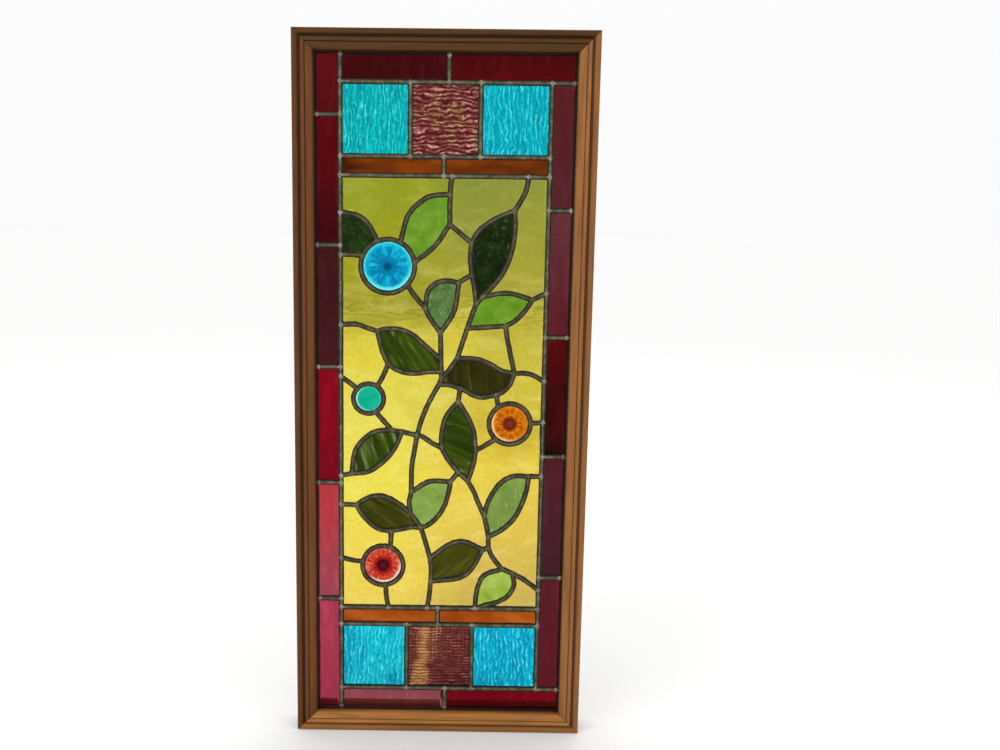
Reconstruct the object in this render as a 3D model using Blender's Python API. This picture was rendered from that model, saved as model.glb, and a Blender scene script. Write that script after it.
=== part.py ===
"""A leaded stained glass panel in its moulded wooden frame.

Sizes are in millimetres and the model is built in metres, with Z up. The origin is the middle of the
frame's underside and the front looks towards -Y. The leads are drawn in the plane of the glass, x to the
right and z up from the lower left corner of the flower field, and placed in the frame as they are built.
"""
import math

import bmesh
import bpy
from mathutils import Vector, geometry

MM = 0.001

# Leaded panel, between the centres of its leads
FIELD_WIDTH = 245.0
FIELD_HEIGHT = 531.0
AMBER_ROW = 22.0
SQUARE_ROW = 84.4

# Red border, from the centre of its inner lead to the sight line of the beads
LEFT_BORDER = 30.0
RIGHT_BORDER = 29.0
TOP_BORDER = 33.5
BOTTOM_BORDER = 28.5

# Lead came: two flanges joined by a heart, with the glass between the flanges
CAME_WIDTH = 5.5
CAME_THICKNESS = 6.0
HEART_WIDTH = 1.6
GROOVE = 3.6
RIM_HEART = 2.0
RIM_SHOWN = 2.0

# Glass
GLASS_THICKNESS = 3.0
BLUE_RONDEL = 63.8
TEAL_RONDEL = 36.6
ORANGE_RONDEL = 50.2
RED_RONDEL = 50.4
BOSS_HEIGHT = 1.6
RONDEL_STEP = 30.0

# Frame
FRAME_FACE = 25.0
FRAME_DEPTH = 40.0
REBATE = 10.0
BEAD_DEPTH = 10.0
BEAD_ROUND = 3.5
BAND = 4.5
QUIRK_WIDTH = 3.0
QUIRK_DEPTH = 3.5
MOULDING_ROUND = 3.4
EDGE_ROUND = 2.0

# Gaps
FIT = 0.3
PANEL_FIT = 0.6

# How far a facet may stand off the smooth curve of a lead
FACET_TOLERANCE = 1.0
CURVE_STEPS = 8
ROUND_STEPS = 3

HALF_CAME = CAME_WIDTH / 2
HALF_HEART = HEART_WIDTH / 2
RIM_HIDDEN = REBATE - PANEL_FIT
RIM_WIDTH = RIM_HIDDEN + RIM_SHOWN

# Heights of the level leads, from the foot of the field
ROW_UNDER_AMBER = -AMBER_ROW
ROW_UNDER_SQUARES = ROW_UNDER_AMBER - SQUARE_ROW
ROW_OVER_AMBER = FIELD_HEIGHT + AMBER_ROW
ROW_OVER_SQUARES = ROW_OVER_AMBER + SQUARE_ROW
SIGHT_LEFT = -LEFT_BORDER
SIGHT_RIGHT = FIELD_WIDTH + RIGHT_BORDER
SIGHT_BOTTOM = ROW_UNDER_SQUARES - BOTTOM_BORDER
SIGHT_TOP = ROW_OVER_SQUARES + TOP_BORDER
PANEL_LEFT = SIGHT_LEFT - RIM_HIDDEN
PANEL_RIGHT = SIGHT_RIGHT + RIM_HIDDEN
PANEL_BOTTOM = SIGHT_BOTTOM - RIM_HIDDEN
PANEL_TOP = SIGHT_TOP + RIM_HIDDEN

# Depths, with the frame centred on the origin
FRAME_FRONT = -FRAME_DEPTH / 2
PANEL_MIDDLE = FRAME_FRONT + BEAD_DEPTH + FIT + CAME_THICKNESS / 2
LIP_FRONT = PANEL_MIDDLE + CAME_THICKNESS / 2 + FIT

# Short cross leads of the border and the strips, as shares of the length that they break up
LEFT_BREAKS = (0.181, 0.366, 0.544, 0.725, 0.912)
RIGHT_BREAKS = (0.199, 0.406, 0.603, 0.805)
TOP_BREAK = 0.46
BOTTOM_BREAK = 0.475
TOP_AMBER_BREAK = 0.495
BOTTOM_AMBER_BREAK = 0.49
SQUARES_IN_ROW = 3

# Rondels: centre on the drawing of the field, and diameter to the middle of the lead ring
RONDELS = {
    "Rondel_Blue": ((56, 425), BLUE_RONDEL),
    "Rondel_Teal": ((33.5, 265), TEAL_RONDEL),
    "Rondel_Orange": ((204.8, 235.8), ORANGE_RONDEL),
    "Rondel_Red": ((51.7, 54.6), RED_RONDEL),
}

# Where leads meet a rondel's ring, in degrees anticlockwise from the right
RING_JUNCTIONS = {
    "blue_leaf_1_top": ("Rondel_Blue", 113),
    "blue_leaf_1_foot": ("Rondel_Blue", 158),
    "blue_leaf_2_side": ("Rondel_Blue", 62),
    "blue_leaf_2_foot": ("Rondel_Blue", 9),
    "blue_stem": ("Rondel_Blue", -43),
    "teal_right": ("Rondel_Teal", 56),
    "teal_left": ("Rondel_Teal", 138),
    "teal_foot": ("Rondel_Teal", -61),
    "orange_top": ("Rondel_Orange", 125),
    "orange_right": ("Rondel_Orange", 3),
    "orange_foot": ("Rondel_Orange", -132),
    "red_top": ("Rondel_Red", 69),
    "red_left": ("Rondel_Red", 169),
    "red_foot": ("Rondel_Red", -82),
}

# Where leads meet in the field, on its drawing
JUNCTIONS = {
    "top_1": (131, 531),
    "top_2": (220.5, 531),
    "left_1": (0, 488),
    "left_2": (0, 438.5),
    "left_3": (0, 354.5),
    "left_4": (0, 292),
    "left_5": (0, 169),
    "left_6": (0, 132.5),
    "left_7": (0, 64),
    "right_1": (245, 395),
    "right_2": (245, 288.5),
    "right_3": (245, 238),
    "right_4": (245, 171),
    "right_5": (245, 25),
    "foot_1": (59, 0),
    "foot_2": (107, 0),
    "foot_3": (166.5, 0),
    "leaf_2_tip": (129, 510),
    "leaf_2_side": (129, 474.5),
    "leaf_3_tip": (205, 492),
    "leaf_3_side": (155, 453.5),
    "leaf_3_twig": (156, 415),
    "leaf_3_foot": (169, 390),
    "leaf_4_tip": (140.5, 406.5),
    "leaf_4_side": (101, 376),
    "leaf_4_foot": (119.5, 346.5),
    "leaf_5_top": (161.5, 381),
    "leaf_5_foot": (151.5, 352),
    "leaf_5_side": (197, 355.5),
    "leaf_5_tip": (228.5, 387),
    "leaf_6_tip": (44, 347.5),
    "leaf_6_side": (57, 307.5),
    "leaf_6_top": (120.5, 314),
    "leaf_6_foot": (121, 299),
    "leaf_7_top": (140, 315.5),
    "leaf_7_tip": (209, 298),
    "leaf_7_foot": (118.5, 283.5),
    "leaf_7_twig": (144, 279),
    "leaf_7_side": (188, 271.5),
    "leaf_8_tip": (142, 262.5),
    "leaf_8_left": (122.5, 205),
    "leaf_8_right": (164, 202.5),
    "leaf_8_twig": (143.5, 175),
    "leaf_8_foot": (155, 164),
    "leaf_9_top": (62, 226.5),
    "leaf_9_tip": (74, 224.5),
    "leaf_9_foot": (13, 171.5),
    "leaf_10_tip": (19, 132),
    "leaf_10_top": (85.5, 122),
    "leaf_10_side": (62, 99.5),
    "leaf_11_top": (86, 149),
    "leaf_11_tip": (134, 163),
    "leaf_11_foot": (98.5, 103.5),
    "leaf_12_side": (176, 120),
    "leaf_12_foot": (181.5, 93),
    "leaf_12_tip": (229.5, 170.5),
    "leaf_13_tip": (174.5, 76.5),
    "leaf_13_top": (110, 65),
    "leaf_13_foot": (111, 34.5),
    "leaf_13_twig": (182, 79),
    "leaf_14_left": (199, 52),
    "leaf_14_right": (212.5, 46.5),
    "stem_fork": (121.5, 291),
    "stem_cross": (92.5, 220.5),
}

# Leads of the field: two junctions, and the points that the curve passes between them
FIELD_LEADS = (
    ("left_1", "blue_leaf_1_top", (10, 487), (21, 484), (31, 476.5), (39, 464.5)),
    ("left_2", "blue_leaf_1_foot", (14, 438.5)),
    ("top_1", "leaf_2_tip", (129.4, 520)),
    ("leaf_2_tip", "leaf_2_side", (128.7, 492)),
    ("leaf_2_tip", "blue_leaf_2_side", (110, 508.5), (100, 505), (91, 498), (82.5, 489), (77, 478)),
    ("leaf_2_side", "blue_leaf_2_foot", (125, 469), (119.5, 460), (112, 450), (103, 441.5)),
    ("leaf_2_side", "leaf_3_side", (140, 466)),
    ("leaf_3_side", "leaf_3_tip", (158.5, 461), (165, 469.5), (175, 477.5), (186, 484)),
    ("leaf_3_side", "leaf_3_twig", (154, 434)),
    ("leaf_3_twig", "leaf_5_top", (159.5, 399)),
    ("leaf_3_tip", "leaf_3_foot", (206, 475), (205, 458), (202, 442), (196, 425), (186.5, 409.5)),
    ("leaf_3_foot", "leaf_5_top"),
    ("top_2", "leaf_3_tip", (218, 516), (212, 503)),
    ("leaf_3_foot", "leaf_5_tip", (180, 392.5), (193, 394.5), (207, 393.5)),
    ("leaf_5_foot", "leaf_5_side", (165, 353)),
    ("leaf_5_side", "leaf_5_tip", (205, 359.5), (213, 366), (221, 375.5)),
    ("leaf_5_top", "leaf_5_foot", (157, 368.5)),
    ("leaf_5_tip", "right_1", (237, 391.5)),
    ("leaf_5_side", "leaf_7_tip", (199.5, 341), (204, 320)),
    ("leaf_3_twig", "leaf_4_tip", (149, 412)),
    ("leaf_4_tip", "leaf_4_side", (130, 408.5), (119.5, 408), (110.5, 403.5), (103.5, 394.5)),
    ("leaf_4_side", "leaf_4_foot", (104, 368.5), (111, 358)),
    ("leaf_4_tip", "leaf_4_foot", (139, 392), (137, 378), (132.5, 366)),
    ("blue_stem", "leaf_4_side", (89, 389.5)),
    ("leaf_4_foot", "leaf_6_top", (120, 333)),
    ("leaf_6_tip", "leaf_6_top", (53, 350), (64, 350.5), (76, 348.5), (88, 342.5), (102, 330)),
    ("leaf_6_tip", "leaf_6_side", (46.5, 337), (50, 323)),
    ("leaf_6_side", "leaf_6_foot", (66, 301.5), (78, 297.3), (92, 296.8), (107, 299)),
    ("leaf_6_top", "leaf_6_foot"),
    ("leaf_6_foot", "stem_fork"),
    ("leaf_7_top", "stem_fork", (130.5, 301.5)),
    ("leaf_5_foot", "leaf_7_top", (146.5, 336)),
    ("stem_fork", "leaf_7_foot"),
    ("leaf_7_foot", "leaf_7_twig", (131, 283)),
    ("leaf_7_twig", "leaf_7_side", (151, 276), (160, 271), (171, 268.5)),
    ("leaf_7_side", "leaf_7_tip", (197, 276.5), (204.5, 285.5)),
    ("leaf_7_top", "leaf_7_tip", (152, 316), (166, 314.5), (180, 309), (193, 301.5)),
    ("leaf_7_tip", "right_2", (221, 298.5), (232, 296)),
    ("leaf_7_twig", "leaf_8_tip"),
    ("leaf_8_tip", "leaf_8_left", (134.5, 254), (128, 245), (124, 233), (122.3, 219)),
    ("leaf_8_tip", "leaf_8_right", (149, 252), (156, 239.5), (161.5, 225)),
    ("leaf_8_left", "leaf_8_twig", (131, 190)),
    ("leaf_8_twig", "leaf_8_foot"),
    ("leaf_8_right", "leaf_8_foot", (162.5, 190), (159, 176)),
    ("leaf_7_side", "orange_top"),
    ("orange_right", "right_3"),
    ("orange_foot", "leaf_8_right", (175, 208.5)),
    ("left_3", "leaf_6_tip", (11, 355.5), (21, 355), (31, 351.5)),
    ("left_4", "teal_left", (9, 285.5)),
    ("leaf_6_side", "teal_right", (51, 293)),
    ("teal_foot", "leaf_9_top", (51, 238.5)),
    ("leaf_9_top", "leaf_9_tip"),
    ("leaf_9_tip", "stem_cross"),
    ("stem_cross", "leaf_8_left", (99, 219), (110, 211.5)),
    ("leaf_7_foot", "stem_cross", (111.5, 271), (104, 255.5), (97.5, 238.5)),
    ("stem_cross", "leaf_11_top", (89.5, 201), (86.5, 181)),
    ("leaf_9_top", "leaf_9_foot", (50, 226), (40, 223.5), (30, 217), (21.5, 207.5), (16, 195)),
    ("leaf_9_tip", "leaf_9_foot", (68, 209), (59, 194.5), (47, 183), (33, 174)),
    ("left_5", "leaf_9_foot"),
    ("leaf_11_top", "leaf_10_top", (83.5, 136)),
    ("leaf_11_top", "leaf_11_tip", (95, 155.5), (104, 161), (114, 163.5)),
    ("leaf_11_tip", "leaf_11_foot", (131.5, 148), (126.5, 131), (118, 117.5), (108, 108)),
    ("leaf_10_top", "leaf_11_foot"),
    ("leaf_10_tip", "leaf_10_top", (27, 138), (37, 142.5), (49, 143.5), (61, 140), (73, 132.5)),
    ("leaf_10_tip", "leaf_10_side", (24, 122.5), (32, 112.5), (42, 104), (52, 100)),
    ("leaf_10_side", "leaf_11_foot", (76, 102), (88, 104.5)),
    ("left_6", "leaf_10_tip"),
    ("leaf_10_side", "red_top"),
    ("red_left", "left_7", (13, 61)),
    ("red_foot", "foot_1", (56, 15)),
    ("leaf_11_foot", "leaf_13_top", (104, 86)),
    ("leaf_13_top", "leaf_13_foot", (111.5, 50)),
    ("leaf_13_foot", "foot_2", (109.5, 17)),
    ("leaf_8_twig", "leaf_11_tip"),
    ("leaf_8_foot", "leaf_12_side", (162.5, 151), (169.5, 134)),
    ("leaf_12_side", "leaf_12_foot", (179, 107)),
    ("leaf_12_side", "leaf_12_tip", (179, 134), (185, 147.5), (193.5, 160), (203.5, 168), (215, 171.5)),
    ("leaf_12_tip", "leaf_12_foot", (227, 152), (221, 133.5), (212, 116), (198, 102.5)),
    ("leaf_12_tip", "right_4"),
    ("leaf_12_foot", "leaf_13_twig"),
    ("leaf_13_twig", "leaf_14_left", (187, 67.5)),
    ("leaf_14_left", "leaf_14_right"),
    ("leaf_14_right", "right_5", (229, 37)),
    ("leaf_13_tip", "leaf_13_twig"),
    ("leaf_13_top", "leaf_13_tip", (118, 71.5), (129, 80), (142, 86), (155, 86)),
    ("leaf_13_foot", "leaf_13_tip", (127, 36.5), (143, 38.5), (155, 44.5), (165, 57)),
    ("foot_3", "leaf_14_left", (167.5, 16), (170.5, 31), (178, 44)),
    ("foot_3", "leaf_14_right", (180, 4.5), (196, 9.5), (208, 18), (214.5, 31)),
)

# A point inside each leaf, on the drawing of the field, and its glass
LEAVES = {
    "Leaf_01": ((18, 463), "dark_green"),
    "Leaf_02": ((103, 470), "bright_green"),
    "Leaf_03": ((180, 445), "dark_green"),
    "Leaf_04": ((120, 380), "grey_green"),
    "Leaf_05": ((190, 375), "bright_green"),
    "Leaf_06": ((80, 325), "streaky_green"),
    "Leaf_07": ((165, 293), "olive"),
    "Leaf_08": ((143, 220), "streaky_green"),
    "Leaf_09": ((40, 200), "streaky_green"),
    "Leaf_10": ((55, 122), "olive"),
    "Leaf_11": ((110, 140), "grey_green"),
    "Leaf_12": ((205, 140), "grey_green"),
    "Leaf_13": ((140, 62), "olive"),
    "Leaf_14": ((190, 30), "lime"),
}

# Colour, roughness and transmission of each material
MATERIALS = {
    "oak": ((0.30, 0.15, 0.05), 0.45, 0.0),
    "lead": ((0.12, 0.11, 0.10), 0.55, 0.0),
    "dark_green": ((0.02, 0.10, 0.01), 0.12, 1.0),
    "bright_green": ((0.20, 0.55, 0.06), 0.15, 1.0),
    "grey_green": ((0.30, 0.48, 0.24), 0.15, 1.0),
    "streaky_green": ((0.09, 0.20, 0.02), 0.12, 1.0),
    "olive": ((0.13, 0.12, 0.01), 0.12, 1.0),
    "lime": ((0.50, 0.70, 0.10), 0.15, 1.0),
    "yellow": ((0.78, 0.65, 0.10), 0.20, 1.0),
    "blue": ((0.0, 0.45, 0.85), 0.08, 1.0),
    "teal": ((0.02, 0.55, 0.35), 0.08, 1.0),
    "orange": ((0.85, 0.28, 0.01), 0.08, 1.0),
    "scarlet": ((0.75, 0.12, 0.03), 0.08, 1.0),
    "turquoise": ((0.02, 0.62, 0.70), 0.10, 1.0),
    "brown": ((0.28, 0.09, 0.06), 0.10, 1.0),
    "amber": ((0.45, 0.15, 0.01), 0.12, 1.0),
    "red": ((0.22, 0.0, 0.01), 0.10, 1.0),
}
LEAD_METALLIC = 0.6

# A rondel's relief, front only: shares of the radius and of the boss height
RONDEL_RELIEF = ((0.86, 0.0), (0.72, 0.45), (0.36, 0.25), (0.24, 1.0))


def clear_scene():
    """Removes what the new file holds."""
    for item in list(bpy.data.objects):
        bpy.data.objects.remove(item, do_unlink=True)


def material(name):
    """The named material, made on first use."""
    if name in bpy.data.materials:
        return bpy.data.materials[name]
    colour, roughness, transmission = MATERIALS[name]
    made = bpy.data.materials.new(name)
    made.use_nodes = True
    shader = made.node_tree.nodes["Principled BSDF"]
    shader.inputs["Base Color"].default_value = (*colour, 1.0)
    shader.inputs["Roughness"].default_value = roughness
    shader.inputs["Metallic"].default_value = LEAD_METALLIC if name == "lead" else 0.0
    shader.inputs["Transmission Weight"].default_value = transmission
    return made


def place(x, z, depth):
    """A point of the panel's drawing, in metres in the frame."""
    across = x - (SIGHT_LEFT + SIGHT_RIGHT) / 2
    return Vector((across * MM, depth * MM, (z - SIGHT_BOTTOM + FRAME_FACE) * MM))


def add_object(name, build, material_name):
    """A named object from a function that fills a bmesh."""
    mesh = bpy.data.meshes.new(name)
    work = bmesh.new()
    build(work)
    bmesh.ops.recalc_face_normals(work, faces=work.faces)
    work.to_mesh(mesh)
    work.free()
    mesh.materials.append(material(material_name))
    made = bpy.data.objects.new(name, mesh)
    bpy.context.scene.collection.objects.link(made)
    return made


# The drawing of the leads

DRAWN_WIDTH = max(x for x, z in JUNCTIONS.values())
DRAWN_HEIGHT = max(z for x, z in JUNCTIONS.values())


def on_field(point):
    """A point of the field's drawing, stretched to the field's size."""
    return Vector((point[0] * FIELD_WIDTH / DRAWN_WIDTH, point[1] * FIELD_HEIGHT / DRAWN_HEIGHT))


def on_ring(rondel, degrees):
    """A point on the lead ring of a rondel."""
    centre, diameter = RONDELS[rondel]
    angle = math.radians(degrees)
    return on_field(centre) + Vector((math.cos(angle), math.sin(angle))) * diameter / 2


def junction(name):
    """Where a named junction lies."""
    if name in RING_JUNCTIONS:
        return on_ring(*RING_JUNCTIONS[name])
    return on_field(JUNCTIONS[name])


def off_line(point, start, end):
    """How far a point lies from the line between two others."""
    along = (end - start).normalized()
    away = point - start
    return abs(along.x * away.y - along.y * away.x)


def thinned(points):
    """The same line with only the points that its shape needs."""
    if len(points) < 3:
        return points
    gaps = [off_line(p, points[0], points[-1]) for p in points[1:-1]]
    worst = max(range(len(gaps)), key=gaps.__getitem__) + 1
    if gaps[worst - 1] < FACET_TOLERANCE:
        return [points[0], points[-1]]
    return thinned(points[: worst + 1])[:-1] + thinned(points[worst:])


def curve_through(points):
    """A smooth curve through the points, as a line of few facets."""
    if len(points) == 2:
        return points
    padded = [points[0] * 2 - points[1], *points, points[-1] * 2 - points[-2]]
    fine = []
    for a, b, c, d in zip(padded, padded[1:], padded[2:], padded[3:]):
        for step in range(CURVE_STEPS):
            t = step / CURVE_STEPS
            bend = (a * 2 - b * 5 + c * 4 - d) * t * t + (b * 3 - a - c * 3 + d) * t * t * t
            fine.append(b + ((c - a) * t + bend) / 2)
    return thinned([*fine, points[-1]])


def ring_leads():
    """The arcs of each rondel's lead ring, from one junction to the next."""
    for rondel in RONDELS:
        stops = sorted(degrees % 360 for owner, degrees in RING_JUNCTIONS.values() if owner == rondel)
        for start, end in zip(stops, [*stops[1:], stops[0] + 360]):
            count = max(1, round((end - start) / RONDEL_STEP))
            yield [on_ring(rondel, start + (end - start) * i / count) for i in range(count + 1)]


def share(start, end, part):
    """The value a share of the way from start to end."""
    return start + (end - start) * part


def corners_outside(out):
    """The corners of the rectangle that lies a distance outside the sight line."""
    return (
        Vector((SIGHT_LEFT - out, SIGHT_BOTTOM - out)),
        Vector((SIGHT_RIGHT + out, SIGHT_BOTTOM - out)),
        Vector((SIGHT_RIGHT + out, SIGHT_TOP + out)),
        Vector((SIGHT_LEFT - out, SIGHT_TOP + out)),
    )


def straight_leads():
    """The straight leads as start, end and kind: came, strap (flanges only) or rim."""
    right = FIELD_WIDTH
    corners = corners_outside(RIM_HIDDEN)
    for start, end in zip(corners, corners[1:] + corners[:1]):
        yield start, end, "rim"
    yield (0, PANEL_BOTTOM), (0, ROW_OVER_SQUARES), "came"
    yield (0, ROW_OVER_SQUARES), (0, PANEL_TOP), "strap"
    yield (right, ROW_UNDER_SQUARES), (right, ROW_OVER_SQUARES), "came"
    for row in (ROW_UNDER_SQUARES, ROW_OVER_SQUARES):
        yield (0, row), (right, row), "came"
        yield (right, row), (PANEL_RIGHT, row), "strap"
    for row in (ROW_UNDER_AMBER, 0, FIELD_HEIGHT, ROW_OVER_AMBER):
        yield (0, row), (right, row), "came"
    for foot, head in ((ROW_UNDER_SQUARES, ROW_UNDER_AMBER), (ROW_OVER_AMBER, ROW_OVER_SQUARES)):
        for i in range(1, SQUARES_IN_ROW):
            across = right * i / SQUARES_IN_ROW
            yield (across, foot), (across, head), "came"
    for part in LEFT_BREAKS:
        row = share(SIGHT_BOTTOM, SIGHT_TOP, part)
        yield (PANEL_LEFT, row), (0, row), "strap"
    for part in RIGHT_BREAKS:
        row = share(ROW_UNDER_SQUARES, ROW_OVER_SQUARES, part)
        yield (right, row), (PANEL_RIGHT, row), "strap"
    for part, foot, head in (
        (TOP_BREAK, ROW_OVER_SQUARES, PANEL_TOP),
        (BOTTOM_BREAK, PANEL_BOTTOM, ROW_UNDER_SQUARES),
    ):
        across = share(0, SIGHT_RIGHT, part)
        yield (across, foot), (across, head), "strap"
    for part, foot, head in (
        (TOP_AMBER_BREAK, FIELD_HEIGHT, ROW_OVER_AMBER),
        (BOTTOM_AMBER_BREAK, ROW_UNDER_AMBER, 0),
    ):
        yield (right * part, foot), (right * part, head), "strap"


def lies_on(point, start, end):
    """Whether a point lies on the stretch between two others, ends left out."""
    along = end - start
    reach = (point - start).dot(along) / along.length_squared
    return 0 < reach < 1 and off_line(point, start, end) < FIT / 10


def all_leads():
    """Every lead as a line of points and its kind, each straight one parted where others meet it."""
    leads = []
    for first, second, *middle in FIELD_LEADS:
        line = [junction(first), *(on_field(p) for p in middle), junction(second)]
        leads.append((curve_through(line), "came"))
    leads.extend((line, "came") for line in ring_leads())
    straight = [(Vector(start), Vector(end), kind) for start, end, kind in straight_leads()]
    ends = [p for start, end, kind in straight for p in (start, end)]
    ends.extend(p for line, kind in leads for p in (line[0], line[-1]))
    for start, end, kind in straight:
        crossed = [p for p in ends if lies_on(p, start, end)]
        crossed.extend(meeting(start, end, a, b) for a, b, other in straight)
        stops = [p for p in crossed if p is not None] + [start, end]
        stops.sort(key=lambda p: (p - start).length)
        for a, b in zip(stops, stops[1:]):
            if (a - b).length > FIT:
                leads.append(([a, b], kind))
    return leads


def meeting(a, b, c, d):
    """Where two straight leads cross, ends left out, or None."""
    across = (b - a).cross(d - c)
    if abs(across) < FIT:
        return None
    first = (c - a).cross(d - c) / across
    second = (c - a).cross(b - a) / across
    if 0 < first < 1 and 0 < second < 1:
        return a + (b - a) * first
    return None


# The panes between the leads


def key(point):
    """The point's place rounded, so that leads which meet share one corner."""
    return (round(point.x, 2), round(point.y, 2))


def trace_panes(leads):
    """The areas closed by the leads: each a list of corner and kind of the lead that follows it."""
    spot = {}
    around = {}
    for line, kind in leads:
        for a, b in zip(line, line[1:]):
            for p, q in ((a, b), (b, a)):
                spot.setdefault(key(p), p)
                angle = math.atan2(q.y - p.y, q.x - p.x)
                around.setdefault(key(p), {})[key(q)] = (angle, kind)
    after = {}
    for corner, others in around.items():
        order = sorted(others, key=lambda other: others[other][0])
        for i, other in enumerate(order):
            after[(other, corner)] = (corner, order[i - 1])
    panes = []
    waiting = set(after)
    while waiting:
        edge = start = min(waiting)
        pane = []
        while True:
            waiting.discard(edge)
            pane.append((spot[edge[0]], around[edge[0]][edge[1]][1]))
            edge = after[edge]
            if edge == start:
                break
        if area([p for p, kind in pane]) > 0:
            panes.append(pane)
    return panes


def area(points):
    """The area inside a closed line, positive if it runs anticlockwise."""
    return sum(a.cross(b) for a, b in zip(points, points[1:] + points[:1])) / 2


def inside(point, outline):
    """Whether a point lies inside a closed line."""
    found = False
    for a, b in zip(outline, outline[1:] + outline[:1]):
        if (a.y > point.y) != (b.y > point.y):
            if point.x < a.x + (point.y - a.y) * (b.x - a.x) / (b.y - a.y):
                found = not found
    return found


def middle_of(points):
    """The centre of area of a closed line."""
    total = Vector((0, 0))
    for a, b in zip(points, points[1:] + points[:1]):
        total += (a + b) * a.cross(b)
    return total / (6 * area(points))


class Side:
    """One edge of a pane and how far its line moves inwards."""

    def __init__(self, start, end, distance):
        self.along = (end - start).normalized()
        inward = Vector((-self.along.y, self.along.x))
        self.start = start
        self.moved = start + inward * distance

    def corner_with(self, following, moved=True):
        """Where this edge's line meets that of the edge after it."""
        a = self.moved if moved else self.start
        b = following.moved if moved else following.start
        turn = self.along.cross(following.along)
        if abs(turn) < 1e-4:
            return b
        return a + self.along * ((b - a).cross(following.along) / turn)


def inset(pane, distances):
    """The pane's outline moved inwards by the distance that each kind of lead asks for."""
    corners = [p for p, kind in pane]
    sides = []
    for a, b, (p, kind) in zip(corners, corners[1:] + corners[:1], pane):
        side = Side(a, b, distances[kind])
        in_line = sides and abs(sides[-1].along.cross(side.along)) < 1e-4
        if in_line and abs((sides[-1].moved - side.moved).cross(side.along)) < 1e-3:
            continue
        sides.append(side)
    while len(sides) > 3:
        soonest = None
        for i, side in enumerate(sides):
            before, after = sides[i - 1], sides[(i + 1) % len(sides)]
            full = (side.corner_with(after, False) - before.corner_with(side, False)).dot(side.along)
            left = (side.corner_with(after) - before.corner_with(side)).dot(side.along)
            if left <= FIT / 3:
                ripe = full / max(full - left, 1e-9)
                if soonest is None or ripe < soonest[0]:
                    soonest = (ripe, i)
        if soonest is None:
            break
        sides.pop(soonest[1])
    return [before.corner_with(side) for before, side in zip([sides[-1], *sides[:-1]], sides)]


# Solids


def fill(work, outline, holes, levels, corners):
    """Fills between an outline and its holes with triangles, at each of the given levels."""
    loops = [outline, *holes]
    points = [p for loop in loops for p in loop]
    edges = []
    base = 0
    for loop in loops:
        edges.extend((base + i, base + (i + 1) % len(loop)) for i in range(len(loop)))
        base += len(loop)
    result = geometry.delaunay_2d_cdt(points, edges, [], 0, 1e-6)
    triangles, origins = result[2], result[3]
    for triangle in triangles:
        middle = sum((result[0][i] for i in triangle), Vector((0, 0))) / 3
        if not inside(middle, outline) or any(inside(middle, hole) for hole in holes):
            continue
        for level in levels:
            work.faces.new([corners[level][origins[i][0]] for i in triangle])


def wall(work, low, high):
    """A wall of quads between two closed rows of corners."""
    count = len(low)
    for i in range(count):
        j = (i + 1) % count
        work.faces.new((low[i], low[j], high[j], high[i]))


def corner_rows(work, loops, depths):
    """New corners for the loops at each depth: one flat list a depth, and the same cut loop by loop."""
    flat = []
    by_loop = []
    for depth in depths:
        rows = [[work.verts.new(place(p.x, p.y, depth)) for p in loop] for loop in loops]
        flat.append([vertex for row in rows for vertex in row])
        by_loop.append(rows)
    return flat, by_loop


def build_cames(work, panes, cells):
    """The soldered lattice of lead: two flanges, and the hearts that join them round each cell."""
    outer = CAME_THICKNESS / 2
    groove = GROOVE / 2
    depths = [PANEL_MIDDLE + d for d in (-outer, -groove, groove, outer)]
    outline = corners_outside(RIM_HIDDEN)
    daylight = [inset(pane, {"came": HALF_CAME, "strap": HALF_CAME, "rim": RIM_WIDTH}) for pane in panes]
    hearts = [inset(cell, {"came": HALF_HEART, "rim": RIM_HEART}) for cell in cells]
    face, face_rows = corner_rows(work, [outline, *daylight], (depths[0], depths[3]))
    fill(work, outline, daylight, (0, 1), face)
    wall(work, face_rows[0][0], face_rows[1][0])
    for heart in hearts:
        holes = [i for i, loop in enumerate(daylight) if inside(loop[0], heart)]
        loops = [heart, *(daylight[i] for i in holes)]
        under, under_rows = corner_rows(work, loops, depths[1:3])
        fill(work, heart, loops[1:], (0, 1), under)
        wall(work, under_rows[0][0], under_rows[1][0])
        for place_in_cell, i in enumerate(holes):
            wall(work, face_rows[0][i + 1], under_rows[0][place_in_cell + 1])
            wall(work, under_rows[1][place_in_cell + 1], face_rows[1][i + 1])


def build_pane(work, outline):
    """A flat pane with the given outline."""
    half = GLASS_THICKNESS / 2
    flat, rows = corner_rows(work, [outline], (PANEL_MIDDLE - half, PANEL_MIDDLE + half))
    work.faces.new(flat[0])
    work.faces.new(reversed(flat[1]))
    wall(work, rows[0][0], rows[1][0])


def build_rondel(work, outline, centre):
    """A pressed rondel: flat behind, with a raised ring and a boss in front."""
    half = GLASS_THICKNESS / 2
    loops = [(1.0, half), (1.0, -half)]
    loops.extend((part, -half - height * BOSS_HEIGHT) for part, height in RONDEL_RELIEF)
    rows = []
    for part, depth in loops:
        ring = [centre + (p - centre) * part for p in outline]
        rows.append([work.verts.new(place(p.x, p.y, PANEL_MIDDLE + depth)) for p in ring])
    for low, high in zip(rows, rows[1:]):
        wall(work, low, high)
    work.faces.new(rows[0])
    work.faces.new(rows[-1])


def quarter_round(out, radius, start):
    """A quarter circle under the front, from its start in degrees, with its centre at a distance out."""
    for i in range(ROUND_STEPS + 1):
        angle = math.radians(start + 90 * i / ROUND_STEPS)
        yield (out + radius * math.cos(angle), radius * (1 + math.sin(angle)))


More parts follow.
